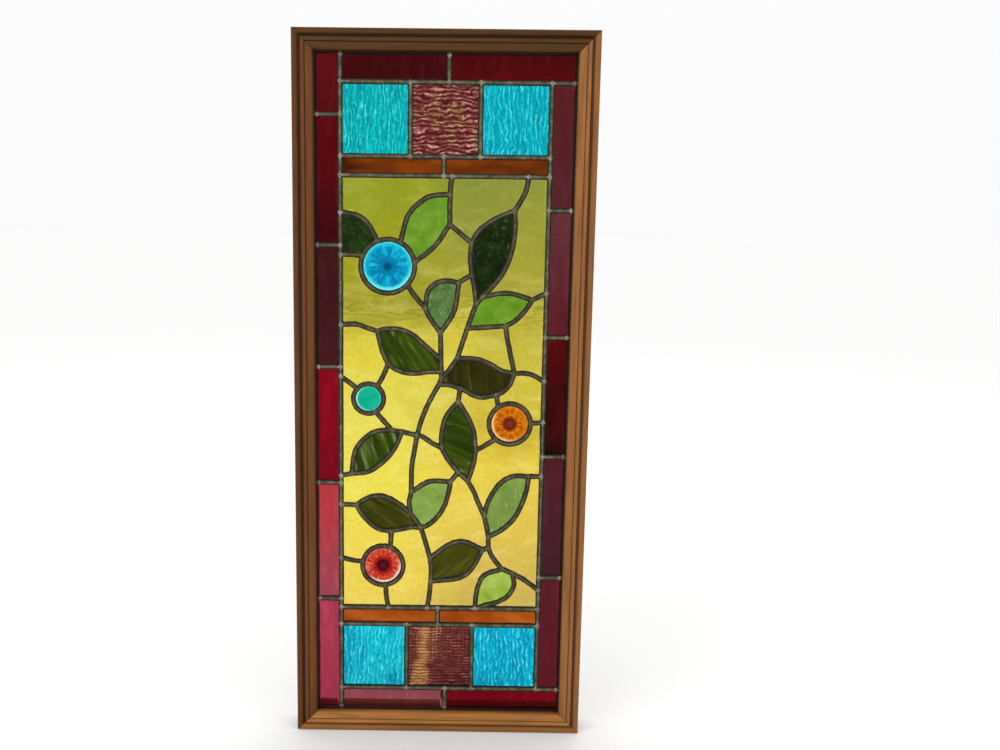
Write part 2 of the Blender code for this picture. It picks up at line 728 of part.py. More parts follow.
def frame_profile():
    """The frame's section: distance outwards from the sight line, and depth behind the front."""
    lip = LIP_FRONT - FRAME_FRONT
    groove = REBATE + BAND
    slope = QUIRK_WIDTH / 5
    moulding = groove + QUIRK_WIDTH
    profile = [(0, FRAME_DEPTH), (0, lip), (REBATE, lip), (REBATE, 0), (groove, 0)]
    profile.append((groove + slope, QUIRK_DEPTH))
    profile.append((moulding - slope, QUIRK_DEPTH))
    profile.extend(quarter_round(moulding + MOULDING_ROUND, MOULDING_ROUND, 180))
    profile.extend(quarter_round(FRAME_FACE - MOULDING_ROUND, MOULDING_ROUND, 270))
    profile.append((FRAME_FACE, FRAME_DEPTH))
    return profile


def bead_profile():
    """The glazing bead's section, in the same terms as the frame's."""
    width = REBATE - FIT
    profile = [(0, BEAD_DEPTH)]
    profile.extend(quarter_round(BEAD_ROUND, BEAD_ROUND, 180))
    profile.extend(quarter_round(width - EDGE_ROUND, EDGE_ROUND, 270))
    profile.append((width, BEAD_DEPTH))
    return profile


def build_bar(work, profile, side):
    """One mitred bar of the given section: 0 is the foot, 1 the right, 2 the head and 3 the left."""
    rows = []
    for end in (0, 1):
        row = []
        for out, depth in profile:
            corners = corners_outside(out)
            near = corners[(side + end) % 4]
            far = corners[(side + 1 - end) % 4]
            point = near + (far - near).normalized() * FIT / math.sqrt(2)
            row.append(work.verts.new(place(point.x, point.y, FRAME_FRONT + depth)))
        rows.append(row)
    wall(work, rows[0], rows[1])
    work.faces.new(rows[0])
    work.faces.new(reversed(rows[1]))


def grid_panes():
    """A point inside each pane of the rows and the border, with its name and glass."""
    half_amber = AMBER_ROW / 2
    half_square = SQUARE_ROW / 2
    names = ("Left", "Centre", "Right")
    for label, foot in (("Top", ROW_OVER_AMBER), ("Bottom", ROW_UNDER_SQUARES)):
        for i in range(SQUARES_IN_ROW):
            across = FIELD_WIDTH * (i + 0.5) / SQUARES_IN_ROW
            glass = "brown" if i % 2 else "turquoise"
            yield f"{label}_Square_{names[i]}", (across, foot + half_square), glass
    yield "Top_Amber_Strip", (half_amber, FIELD_HEIGHT + half_amber), "amber"
    yield "Bottom_Amber_Strip", (half_amber, ROW_UNDER_AMBER + half_amber), "amber"
    yield "Red_Border", (SIGHT_LEFT / 2, 0), "red"


def build_frame():
    """The four members of the frame and its four glazing beads."""
    for names, profile in (
        (("Bottom_Rail", "Right_Stile", "Head_Rail", "Left_Stile"), frame_profile()),
        (("Bottom_Bead", "Right_Bead", "Top_Bead", "Left_Bead"), bead_profile()),
    ):
        for side, name in enumerate(names):
            add_object(name, lambda work, p=profile, s=side: build_bar(work, p, s), "oak")


def build_panel():
    """The lead lattice and every piece of glass in it."""
    leads = all_leads()
    panes = trace_panes(leads)
    cells = trace_panes([lead for lead in leads if lead[1] != "strap"])
    add_object("Lead_Cames", lambda work: build_cames(work, panes, cells), "lead")
    glass_inset = {"came": HALF_HEART + FIT, "rim": RIM_HEART + FIT}
    outlines = [inset(cell, glass_inset) for cell in cells]
    outlines.sort(key=lambda outline: -middle_of(outline).y)
    known = [(name, Vector(point), glass) for name, point, glass in grid_panes()]
    known.extend((name, on_field(point), glass) for name, (point, glass) in LEAVES.items())
    for name, point, glass in known:
        outline = next(loop for loop in outlines if inside(point, loop))
        outlines.remove(outline)
        add_object(name, lambda work, outline=outline: build_pane(work, outline), glass)
    rondel_glass = ("blue", "teal", "orange", "scarlet")
    for (name, (point, diameter)), glass in zip(RONDELS.items(), rondel_glass):
        centre = on_field(point)
        outline = next(loop for loop in outlines if inside(centre, loop))
        outlines.remove(outline)
        add_object(name, lambda work, o=outline, c=centre: build_rondel(work, o, c), glass)
    for number, outline in enumerate(outlines, 1):
        add_object(f"Background_{number:02d}", lambda work, o=outline: build_pane(work, o), "yellow")


clear_scene()
build_frame()
build_panel()
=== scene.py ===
"""A leaded stained glass window in its wooden frame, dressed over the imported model.

The drawing of the leads is in millimetres, x to the right and z up from the lower left corner of the
flower field. Every piece is placed in metres in the model's own frame, whose front looks towards -Y.
"""

import math

import bmesh
import bpy
from mathutils import Euler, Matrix, Vector, geometry, noise


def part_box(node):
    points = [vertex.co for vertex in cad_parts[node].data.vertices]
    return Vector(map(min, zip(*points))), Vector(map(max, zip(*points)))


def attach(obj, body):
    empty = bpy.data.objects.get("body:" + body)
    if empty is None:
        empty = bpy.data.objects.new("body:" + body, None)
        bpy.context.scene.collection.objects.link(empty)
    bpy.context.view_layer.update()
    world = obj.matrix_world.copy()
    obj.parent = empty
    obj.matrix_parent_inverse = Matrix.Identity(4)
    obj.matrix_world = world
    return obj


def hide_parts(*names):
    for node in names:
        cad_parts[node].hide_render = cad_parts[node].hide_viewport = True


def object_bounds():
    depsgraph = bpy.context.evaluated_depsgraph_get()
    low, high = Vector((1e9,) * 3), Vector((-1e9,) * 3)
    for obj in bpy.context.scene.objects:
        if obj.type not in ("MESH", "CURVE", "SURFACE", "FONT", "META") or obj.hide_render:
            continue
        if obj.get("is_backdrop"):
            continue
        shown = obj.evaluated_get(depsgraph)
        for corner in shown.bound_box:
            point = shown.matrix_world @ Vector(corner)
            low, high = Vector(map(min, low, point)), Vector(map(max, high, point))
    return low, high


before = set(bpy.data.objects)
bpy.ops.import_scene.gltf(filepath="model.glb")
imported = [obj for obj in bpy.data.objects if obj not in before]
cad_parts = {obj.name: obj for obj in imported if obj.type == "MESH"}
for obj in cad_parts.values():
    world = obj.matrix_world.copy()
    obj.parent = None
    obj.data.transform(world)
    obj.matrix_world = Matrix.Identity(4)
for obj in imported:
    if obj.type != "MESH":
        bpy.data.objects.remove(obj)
CAD_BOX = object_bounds()

MM = 0.001

# Leaded panel, between the centres of its leads
FIELD_WIDTH = 245.0
FIELD_HEIGHT = 531.0
AMBER_ROW = 22.0
SQUARE_ROW = 84.4
LEFT_BORDER = 30.0
RIGHT_BORDER = 29.0
TOP_BORDER = 33.5
BOTTOM_BORDER = 28.5

# Frame, glazing beads and the panel's place between them; the groove's shape is in shares of its width
# and depth
FRAME_FACE = 25.0
FRAME_DEPTH = 40.0
REBATE = 10.0
BEAD_DEPTH = 10.0
BEAD_ROUND = 3.5
BAND = 4.5
QUIRK_WIDTH = 3.0
QUIRK_DEPTH = 3.5
MOULDING_ROUND = 3.4
EDGE_ROUND = 2.0
ARRIS = 0.5
FIT = 0.3
PANEL_FIT = 0.6
MITRE_GAP = 0.02
MITRE_DIP = 0.3
GROOVE_SHAPE = ((0.12, 0.8), (0.3, 1.0), (0.7, 1.0), (0.96, 0.85))

# Lead: its section, the cement beside it, and its soldered joints
HALF_CAME = 2.75
HALF_HEART = 0.8
HALF_THICKNESS = 3.0
CAME_CREST = 3.15
CAME_EDGE = 1.75
CREST_SHAPE = (-1.0, -0.86, -0.55, 0.0, 0.55, 0.86, 1.0)
DOME_POWER = 2.6
FLANGE_FOLD = 0.94
RIM_SHOWN = 2.0
RIM_DROP = 0.1
RIM_BEVEL = 0.5
CEMENT = 0.5
CEMENT_SHARE = 0.7
LEAST_CEMENT = 0.2
JOINT_REACH = 7.5
JOINT_RADIUS = 3.2
JOINT_CLEAR = 1.0
JOINT_CREST = 3.5
RIM_JOINT_CREST = 3.2
JOINT_SIDES = 28
JOINT_RAGGED = 0.5
LOBE_WIDTH = 0.33
LOBE_SHARE = 0.85
LOBE_RAGGED = 0.3
RIM_LOBE = -0.4
JOINT_RINGS = ((1.0, 0.0), (0.9, 0.45), (0.72, 0.75), (0.45, 0.93), (0.2, 1.0))

# Glass: half its thickness, how far it reaches outside the sight line, and how far from its middle the
# undersides of the flanges, the cement and the joints' edges lie
GLASS_HALF = 1.5
GLASS_HIDDEN = 3.0
UNDER_FLANGE = GLASS_HALF + 0.04
CEMENT_FACE = GLASS_HALF + 0.06
JOINT_EDGE = GLASS_HALF + 0.08

# Unevenness: how far each of these wanders to both sides, and over what length; the cement's is a share
# of its width, and the fade's is one of the level ripple's height
WIDTH_WAVE = (0.28, 7)
CREST_WAVE = (0.09, 6)
CEMENT_WAVE = (0.7, 4)
SOLDER_WAVE = (0.12, 2.2)
SHEET_WAVE = (0.07, 22)
SHEET_DIMPLES = (0.03, 7)
UPRIGHT_BEND = (5, 16)
LEVEL_BEND = (3.5, 13)
LEVEL_FADE = (0.3, 9)

# How far apart in the noise one wave, one joint or one set of rays lies from the next
WAVE_SEEDS = 7.3
JOINT_SEEDS = 1.7
RAY_SEEDS = 9.7

# Ripples pressed into the squares of glass
UPRIGHT_HEIGHT = 0.30
UPRIGHT_WIDTH = 3.2
UPRIGHT_LENGTH = 14
UPRIGHT_SEED = 4.1
LEVEL_HEIGHT = 0.24
LEVEL_SPACING = 4.6
LEVEL_SHARE = 0.7

# A rondel's relief in front: shares of its radius and of the height of its boss
RONDEL_RELIEF = (
    (0.0, 1.0), (0.2, 0.95), (0.3, 0.3), (0.42, 0.25), (0.7, 0.5), (0.8, 0.4), (0.9, 0.0), (1.0, 0.0),
)
BOSS_HEIGHT = 1.5
RIB_HEIGHT = 0.22
RIB_MIDDLE = 0.56
RIB_REACH = 0.26
RONDEL_RINGS = 34
SPOKES = 120

# Sampling and tolerances of the drawing
LEAD_STEP = 3.0
STRAIGHT_STEP = 6.0
RING_DEGREES = 6.0
BAR_STEPS = 24
SHEET_SPACING = 4.0
RED_SPACING = 5.0
RIPPLE_SPACING = 1.6
CLEAR_OF_EDGE = 0.45
SAME_POINT = 1e-5
NEAR = 0.03
SHORTEST_LEAD = 0.3
SHORTEST_SIDE = 0.1
SAME_LINE = 1e-3
PARALLEL = 1e-4
TINY = 1e-9

RIM_HIDDEN = REBATE - PANEL_FIT
ROW_UNDER_AMBER = -AMBER_ROW
ROW_UNDER_SQUARES = ROW_UNDER_AMBER - SQUARE_ROW
ROW_OVER_AMBER = FIELD_HEIGHT + AMBER_ROW
ROW_OVER_SQUARES = ROW_OVER_AMBER + SQUARE_ROW
SIGHT_LEFT = -LEFT_BORDER
SIGHT_RIGHT = FIELD_WIDTH + RIGHT_BORDER
SIGHT_BOTTOM = ROW_UNDER_SQUARES - BOTTOM_BORDER
SIGHT_TOP = ROW_OVER_SQUARES + TOP_BORDER
PANEL_LEFT = SIGHT_LEFT - RIM_HIDDEN
PANEL_RIGHT = SIGHT_RIGHT + RIM_HIDDEN
PANEL_BOTTOM = SIGHT_BOTTOM - RIM_HIDDEN
PANEL_TOP = SIGHT_TOP + RIM_HIDDEN
FRAME_FRONT = -FRAME_DEPTH / 2
PANEL_MIDDLE = FRAME_FRONT + BEAD_DEPTH + FIT + HALF_THICKNESS
LIP_FRONT = PANEL_MIDDLE + HALF_THICKNESS + FIT
GROOVE = REBATE + BAND
GROOVE_END = GROOVE + QUIRK_WIDTH

# Short cross leads of the border and the strips, as shares of the length that they break up
LEFT_BREAKS = (0.181, 0.366, 0.544, 0.725, 0.912)
RIGHT_BREAKS = (0.199, 0.406, 0.603, 0.805)
TOP_BREAK = 0.46
BOTTOM_BREAK = 0.475
TOP_AMBER_BREAK = 0.495
BOTTOM_AMBER_BREAK = 0.49

# Rondels: slot, centre, diameter to the middle of the lead ring, number of ribs, and where leads meet that
# ring, in degrees anticlockwise from the right
RONDELS = {
    "Rondel_Blue": ("blue", (56, 425), 63.8, 18, {
        "blue 1 top": 113, "blue 1 foot": 158, "blue 2 side": 62, "blue 2 foot": 9, "blue stem": -43,
    }),
    "Rondel_Teal": ("teal", (33.5, 265), 36.6, 0, {"teal right": 56, "teal left": 138, "teal foot": -61}),
    "Rondel_Orange": ("orange", (204.8, 235.8), 50.2, 20, {
        "orange top": 125, "orange right": 3, "orange foot": -132,
    }),
    "Rondel_Red": ("scarlet", (51.7, 54.6), 50.4, 24, {"red top": 69, "red left": 169, "red foot": -82}),
}

# Where leads meet the edges of the field, from the top down and from the left
EDGE_JUNCTIONS = {
    "top": (131, 220.5),
    "left": (488, 438.5, 354.5, 292, 169, 132.5, 64),
    "right": (395, 288.5, 238, 171, 25),
    "foot": (59, 107, 166.5),
}

# Where leads meet inside the field: a number is that of a leaf
JUNCTIONS = {
    "2 tip": (129, 510), "2 side": (129, 474.5), "3 tip": (205, 492), "3 side": (155, 453.5),
    "3 twig": (156, 415), "3 foot": (169, 390), "4 tip": (140.5, 406.5), "4 side": (101, 376),
    "4 foot": (119.5, 346.5), "5 top": (161.5, 381), "5 foot": (151.5, 352), "5 side": (197, 355.5),
    "5 tip": (228.5, 387), "6 tip": (44, 347.5), "6 side": (57, 307.5), "6 top": (120.5, 314),
    "6 foot": (121, 299), "7 top": (140, 315.5), "7 tip": (209, 298), "7 foot": (118.5, 283.5),
    "7 twig": (144, 279), "7 side": (188, 271.5), "8 tip": (142, 262.5), "8 left": (122.5, 205),
    "8 right": (164, 202.5), "8 twig": (143.5, 175), "8 foot": (155, 164), "9 top": (62, 226.5),
    "9 tip": (74, 224.5), "9 foot": (13, 171.5), "10 tip": (19, 132), "10 top": (85.5, 122),
    "10 side": (62, 99.5), "11 top": (86, 149), "11 tip": (134, 163), "11 foot": (98.5, 103.5),
    "12 side": (176, 120), "12 foot": (181.5, 93), "12 tip": (229.5, 170.5), "13 tip": (174.5, 76.5),
    "13 top": (110, 65), "13 foot": (111, 34.5), "13 twig": (182, 79), "14 left": (199, 52),
    "14 right": (212.5, 46.5), "stem fork": (121.5, 291), "stem cross": (92.5, 220.5),
}

# Leads of the field: two junctions, and the points that the curve passes between them
FIELD_LEADS = (
    ("left 1", "blue 1 top", (10, 487), (21, 484), (31, 476.5), (39, 464.5)),
    ("left 2", "blue 1 foot", (14, 438.5)),
    ("top 1", "2 tip", (129.4, 520)),
    ("2 tip", "2 side", (128.7, 492)),
    ("2 tip", "blue 2 side", (110, 508.5), (100, 505), (91, 498), (82.5, 489), (77, 478)),
    ("2 side", "blue 2 foot", (125, 469), (119.5, 460), (112, 450), (103, 441.5)),
    ("2 side", "3 side", (140, 466)),
    ("3 side", "3 tip", (158.5, 461), (165, 469.5), (175, 477.5), (186, 484)),
    ("3 side", "3 twig", (154, 434)),
    ("3 twig", "5 top", (159.5, 399)),
    ("3 tip", "3 foot", (206, 475), (205, 458), (202, 442), (196, 425), (186.5, 409.5)),
    ("3 foot", "5 top"),
    ("top 2", "3 tip", (218, 516), (212, 503)),
    ("3 foot", "5 tip", (180, 392.5), (193, 394.5), (207, 393.5)),
    ("5 foot", "5 side", (165, 353)),
    ("5 side", "5 tip", (205, 359.5), (213, 366), (221, 375.5)),
    ("5 top", "5 foot", (157, 368.5)),
    ("5 tip", "right 1", (237, 391.5)),
    ("5 side", "7 tip", (199.5, 341), (204, 320)),
    ("3 twig", "4 tip", (149, 412)),
    ("4 tip", "4 side", (130, 408.5), (119.5, 408), (110.5, 403.5), (103.5, 394.5)),
    ("4 side", "4 foot", (104, 368.5), (111, 358)),
    ("4 tip", "4 foot", (139, 392), (137, 378), (132.5, 366)),
    ("blue stem", "4 side", (89, 389.5)),
    ("4 foot", "6 top", (120, 333)),
    ("6 tip", "6 top", (53, 350), (64, 350.5), (76, 348.5), (88, 342.5), (102, 330)),
    ("6 tip", "6 side", (46.5, 337), (50, 323)),
    ("6 side", "6 foot", (66, 301.5), (78, 297.3), (92, 296.8), (107, 299)),
    ("6 top", "6 foot"),
    ("6 foot", "stem fork"),
    ("7 top", "stem fork", (130.5, 301.5)),
    ("5 foot", "7 top", (146.5, 336)),
    ("stem fork", "7 foot"),
    ("7 foot", "7 twig", (131, 283)),
    ("7 twig", "7 side", (151, 276), (160, 271), (171, 268.5)),
    ("7 side", "7 tip", (197, 276.5), (204.5, 285.5)),
    ("7 top", "7 tip", (152, 316), (166, 314.5), (180, 309), (193, 301.5)),
    ("7 tip", "right 2", (221, 298.5), (232, 296)),
    ("7 twig", "8 tip"),
    ("8 tip", "8 left", (134.5, 254), (128, 245), (124, 233), (122.3, 219)),
    ("8 tip", "8 right", (149, 252), (156, 239.5), (161.5, 225)),
    ("8 left", "8 twig", (131, 190)),
    ("8 twig", "8 foot"),
    ("8 right", "8 foot", (162.5, 190), (159, 176)),
    ("7 side", "orange top"),
    ("orange right", "right 3"),
    ("orange foot", "8 right", (175, 208.5)),
    ("left 3", "6 tip", (11, 355.5), (21, 355), (31, 351.5)),
    ("left 4", "teal left", (9, 285.5)),
    ("6 side", "teal right", (51, 293)),
    ("teal foot", "9 top", (51, 238.5)),
    ("9 top", "9 tip"),
    ("9 tip", "stem cross"),
    ("stem cross", "8 left", (99, 219), (110, 211.5)),
    ("7 foot", "stem cross", (111.5, 271), (104, 255.5), (97.5, 238.5)),
    ("stem cross", "11 top", (89.5, 201), (86.5, 181)),
    ("9 top", "9 foot", (50, 226), (40, 223.5), (30, 217), (21.5, 207.5), (16, 195)),
    ("9 tip", "9 foot", (68, 209), (59, 194.5), (47, 183), (33, 174)),
    ("left 5", "9 foot"),
    ("11 top", "10 top", (83.5, 136)),
    ("11 top", "11 tip", (95, 155.5), (104, 161), (114, 163.5)),
    ("11 tip", "11 foot", (131.5, 148), (126.5, 131), (118, 117.5), (108, 108)),
    ("10 top", "11 foot"),
    ("10 tip", "10 top", (27, 138), (37, 142.5), (49, 143.5), (61, 140), (73, 132.5)),
    ("10 tip", "10 side", (24, 122.5), (32, 112.5), (42, 104), (52, 100)),
    ("10 side", "11 foot", (76, 102), (88, 104.5)),
    ("left 6", "10 tip"),
    ("10 side", "red top"),
    ("red left", "left 7", (13, 61)),
    ("red foot", "foot 1", (56, 15)),
    ("11 foot", "13 top", (104, 86)),
    ("13 top", "13 foot", (111.5, 50)),
    ("13 foot", "foot 2", (109.5, 17)),
    ("8 twig", "11 tip"),
    ("8 foot", "12 side", (162.5, 151), (169.5, 134)),
    ("12 side", "12 foot", (179, 107)),
    ("12 side", "12 tip", (179, 134), (185, 147.5), (193.5, 160), (203.5, 168), (215, 171.5)),
    ("12 tip", "12 foot", (227, 152), (221, 133.5), (212, 116), (198, 102.5)),
    ("12 tip", "right 4"),
    ("12 foot", "13 twig"),
    ("13 twig", "14 left", (187, 67.5)),
    ("14 left", "14 right"),
    ("14 right", "right 5", (229, 37)),
    ("13 tip", "13 twig"),
    ("13 top", "13 tip", (118, 71.5), (129, 80), (142, 86), (155, 86)),
    ("13 foot", "13 tip", (127, 36.5), (143, 38.5), (155, 44.5), (165, 57)),
    ("foot 3", "14 left", (167.5, 16), (170.5, 31), (178, 44)),
    ("foot 3", "14 right", (180, 4.5), (196, 9.5), (208, 18), (214.5, 31)),
)

# Each leaf: a point inside it, its glass, how light it is beside that glass's usual tone, how far its streaks
# lean from upright, in radians, and how much scarcer they are than usual
LEAVES = {
    "Leaf_01": ((18, 463), "dark_green", 0.88, 0.9, 0.02),
    "Leaf_02": ((103, 470), "bright_green", 0.92, 0.6, 0.0),
    "Leaf_03": ((180, 445), "dark_green", 0.54, -0.3, 0.03),
    "Leaf_04": ((120, 380), "grey_green", 0.88, 0.8, 0.0),
    "Leaf_05": ((190, 375), "bright_green", 0.94, 0.9, 0.0),
    "Leaf_06": ((80, 325), "streaky_green", 0.98, 0.56, 0.02),
    "Leaf_07": ((165, 293), "olive", 0.8, 0.1, 0.0),
    "Leaf_08": ((143, 220), "streaky_green", 0.9, 1.25, 0.04),
    "Leaf_09": ((40, 200), "streaky_green", 0.96, 0.30, -0.06),
    "Leaf_10": ((55, 122), "warm_olive", 0.93, 1.0, 0.0),
    "Leaf_11": ((110, 140), "pale_green", 1.0, -0.6, 0.03),
    "Leaf_12": ((205, 140), "pale_green", 0.8, 0.4, 0.02),
    "Leaf_13": ((140, 62), "warm_olive", 1.15, -0.8, 0.0),
    "Leaf_14": ((190, 30), "lime", 0.88, 0.3, 0.0),
}


# The drawing of the leads


def share(start, end, part):
    """The value a share of the way from start to end."""
    return start + (end - start) * part


def in_turn(items):
    """Each item of a closed row with the one after it."""
    return zip(items, items[1:] + items[:1])


def polar(angle, radius=1.0):
    """A point at an angle from the right, in radians, and a radius."""
    return Vector((math.cos(angle), math.sin(angle))) * radius


def on_ring(rondel, degrees):
    """A point on the lead ring of a rondel."""
    slot, centre, diameter, *rest = RONDELS[rondel]
    return Vector(centre) + polar(math.radians(degrees), diameter) / 2


def all_junctions():
    """Where each named junction lies."""
    found = dict(JUNCTIONS)
    for rondel, (*rest, meetings) in RONDELS.items():
        found.update({name: on_ring(rondel, degrees) for name, degrees in meetings.items()})
    fixed = {"top": FIELD_HEIGHT, "foot": 0, "left": 0, "right": FIELD_WIDTH}
    for edge, values in EDGE_JUNCTIONS.items():
        for number, value in enumerate(values, 1):
            upright = edge in ("left", "right")
            found[f"{edge} {number}"] = (fixed[edge], value) if upright else (value, fixed[edge])
    return found


def curve_through(points):
    """A smooth curve through the points, in short steps."""
    padded = [points[0] * 2 - points[1], *points, points[-1] * 2 - points[-2]]
    fine = []
    for a, b, c, d in zip(padded, padded[1:], padded[2:], padded[3:]):
        steps = max(1, math.ceil((c - b).length / LEAD_STEP))
        for t in (step / steps for step in range(steps)):
            bend = (a * 2 - b * 5 + c * 4 - d) * t * t + (b * 3 - a - c * 3 + d) * t * t * t
            fine.append(b + ((c - a) * t + bend) / 2)
    return [*fine, points[-1]]


def ring_leads():
    """The arcs of each rondel's lead ring, from one junction to the next."""
    for rondel, (*rest, meetings) in RONDELS.items():
        stops = sorted(degrees % 360 for degrees in meetings.values())
        for start, end in zip(stops, [*stops[1:], stops[0] + 360]):
            count = max(1, round((end - start) / RING_DEGREES))
            yield [on_ring(rondel, share(start, end, i / count)) for i in range(count + 1)]


def corners_outside(out):
    """The corners of the rectangle that lies a distance outside the sight line."""
    left, right = SIGHT_LEFT - out, SIGHT_RIGHT + out
    foot, head = SIGHT_BOTTOM - out, SIGHT_TOP + out
    return [Vector(corner) for corner in ((left, foot), (right, foot), (right, head), (left, head))]


def straight_cames():
    """The start and end of each straight came."""
    right = FIELD_WIDTH
    yield (0, PANEL_BOTTOM), (0, PANEL_TOP)
    yield (right, ROW_UNDER_SQUARES), (right, ROW_OVER_SQUARES)
    for row in (ROW_UNDER_SQUARES, ROW_OVER_SQUARES):
        yield (0, row), (PANEL_RIGHT, row)
    for row in (ROW_UNDER_AMBER, 0, FIELD_HEIGHT, ROW_OVER_AMBER):
        yield (0, row), (right, row)
    for foot, head in ((ROW_UNDER_SQUARES, ROW_UNDER_AMBER), (ROW_OVER_AMBER, ROW_OVER_SQUARES)):
        for part in (1 / 3, 2 / 3):
            yield (right * part, foot), (right * part, head)
    for part in LEFT_BREAKS:
        row = share(SIGHT_BOTTOM, SIGHT_TOP, part)
        yield (PANEL_LEFT, row), (0, row)
    for part in RIGHT_BREAKS:
        row = share(ROW_UNDER_SQUARES, ROW_OVER_SQUARES, part)
        yield (right, row), (PANEL_RIGHT, row)
    for across, foot, head in (
        (SIGHT_RIGHT * TOP_BREAK, ROW_OVER_SQUARES, PANEL_TOP),
        (SIGHT_RIGHT * BOTTOM_BREAK, PANEL_BOTTOM, ROW_UNDER_SQUARES),
        (right * TOP_AMBER_BREAK, FIELD_HEIGHT, ROW_OVER_AMBER),
        (right * BOTTOM_AMBER_BREAK, ROW_UNDER_AMBER, 0),
    ):
        yield (across, foot), (across, head)


def lies_on(point, start, end):
    """Whether a point lies on the stretch between two others, ends left out."""
    along = end - start
    reach = (point - start).dot(along) / along.length_squared
    return 0 < reach < 1 and abs(along.normalized().cross(point - start)) < NEAR


def meeting(a, b, c, d):
    """Where two straight leads cross, ends left out, or None."""
    across = (b - a).cross(d - c)
    if abs(across) > NEAR:
        first = (c - a).cross(d - c) / across
        second = (c - a).cross(b - a) / across
        if 0 < first < 1 and 0 < second < 1:
            return a + (b - a) * first
    return None


def stepped(a, b):
    """A straight lead cut into short steps."""
    count = max(1, round((b - a).length / STRAIGHT_STEP))
    return [a.lerp(b, i / count) for i in range(count + 1)]


def all_leads():
    """Every lead as a line of points and its kind: vine, came or rim, each parted where others meet it."""
    spots = all_junctions()
    leads = []
    for first, second, *middle in FIELD_LEADS:
        line = [Vector(point) for point in (spots[first], *middle, spots[second])]
        leads.append((curve_through(line), "vine"))
    leads.extend((line, "vine") for line in ring_leads())
    straight = [(start, end, "rim") for start, end in in_turn(corners_outside(RIM_HIDDEN))]
    straight.extend((Vector(start), Vector(end), "came") for start, end in straight_cames())
    ends = [p for start, end, kind in straight for p in (start, end)]
    ends.extend(p for line, kind in leads for p in (line[0], line[-1]))
    for start, end, kind in straight:
        crossed = [p for p in ends if lies_on(p, start, end)]
        crossed.extend(meeting(start, end, a, b) for a, b, other in straight)
        stops = [p for p in crossed if p is not None] + [start, end]
        stops.sort(key=lambda p: (p - start).length)
        for a, b in zip(stops, stops[1:]):
            if (a - b).length > SHORTEST_LEAD:
                leads.append((stepped(a, b), kind))
    return leads


def key(point):
    """The point's place rounded, so that leads which meet share one corner."""
    return (round(point.x, 2), round(point.y, 2))


def trace_panes(leads):
    """The areas closed by the leads: each a list of corner and kind of the lead that follows it."""
    spot = {}
    around = {}
    for line, kind in leads:
        for a, b in zip(line, line[1:]):
            for p, q in ((a, b), (b, a)):
                spot.setdefault(key(p), p)
                around.setdefault(key(p), {})[key(q)] = (math.atan2(q.y - p.y, q.x - p.x), kind)
    after = {}
    for corner, others in around.items():
        order = sorted(others, key=lambda other: others[other][0])
        for i, other in enumerate(order):
            after[(other, corner)] = (corner, order[i - 1])
    panes = []
    waiting = set(after)
    while waiting:
        edge = start = min(waiting)
        pane = []
        while edge != start or not pane:
            waiting.discard(edge)
            pane.append((spot[edge[0]], around[edge[0]][edge[1]][1]))
            edge = after[edge]
        if area([p for p, kind in pane]) > 0:
            panes.append(pane)
    return panes


def area(points):
    """The area inside a closed line, positive if it runs anticlockwise."""
    return sum(a.cross(b) for a, b in in_turn(points)) / 2


def inside(point, outline):
    """Whether a point lies inside a closed line."""
    found = False
    for a, b in in_turn(outline):
        if (a.y > point.y) != (b.y > point.y):
            if point.x < a.x + (point.y - a.y) * (b.x - a.x) / (b.y - a.y):
                found = not found
    return found


def middle_of(points):
    """The centre of area of a closed line."""
    total = sum(((a + b) * a.cross(b) for a, b in in_turn(points)), Vector((0, 0)))
    return total / (6 * area(points))


def box_of(points):
    """The lower left and upper right corners of the box round a line."""
    return (
        Vector((min(p.x for p in points), min(p.y for p in points))),
        Vector((max(p.x for p in points), max(p.y for p in points))),
    )


class Side:
    """One edge of a pane and how far its line moves inwards."""

    def __init__(self, start, end, distance):
        self.along = (end - start).normalized()
        self.start = start
        self.moved = start + Vector((-self.along.y, self.along.x)) * distance

    def corner_with(self, following, moved=True):
        """Where this edge's line meets that of the edge after it."""
        a = self.moved if moved else self.start
        b = following.moved if moved else following.start
        turn = self.along.cross(following.along)
        if abs(turn) < PARALLEL:
            return b
        return a + self.along * ((b - a).cross(following.along) / turn)


def inset(pane, distances):
    """The pane's outline moved inwards by the distance that each kind of lead asks for."""
    sides = []
    for (a, kind), (b, following) in in_turn(pane):
        side = Side(a, b, distances[kind])
        in_line = sides and abs(sides[-1].along.cross(side.along)) < PARALLEL
        if not in_line or abs((sides[-1].moved - side.moved).cross(side.along)) >= SAME_LINE:
            sides.append(side)
    while len(sides) > 3:
        ripe = []
        for i, side in enumerate(sides):
            before, after = sides[i - 1], sides[(i + 1) % len(sides)]
            full = (side.corner_with(after, False) - before.corner_with(side, False)).dot(side.along)
            left = (side.corner_with(after) - before.corner_with(side)).dot(side.along)
            if left <= SHORTEST_SIDE:
                ripe.append((full / max(full - left, TINY), i))
        if not ripe:
            break
        sides.pop(min(ripe)[1])
    return [before.corner_with(side) for before, side in zip([sides[-1], *sides[:-1]], sides)]


# Meshes


def place(point, depth=0.0):
    """A point of the panel's drawing, in metres in the model's frame."""
    x, z = point
    across = x - (SIGHT_LEFT + SIGHT_RIGHT) / 2
    return (across * MM, depth * MM, (z - SIGHT_BOTTOM + FRAME_FACE) * MM)


def wave(point, kind, seed):
    """Soft noise over the drawing, by its height to both sides and its length."""
    height, length = kind
    return height * noise.noise(Vector((point[0] / length, seed * WAVE_SEEDS, point[1] / length)))


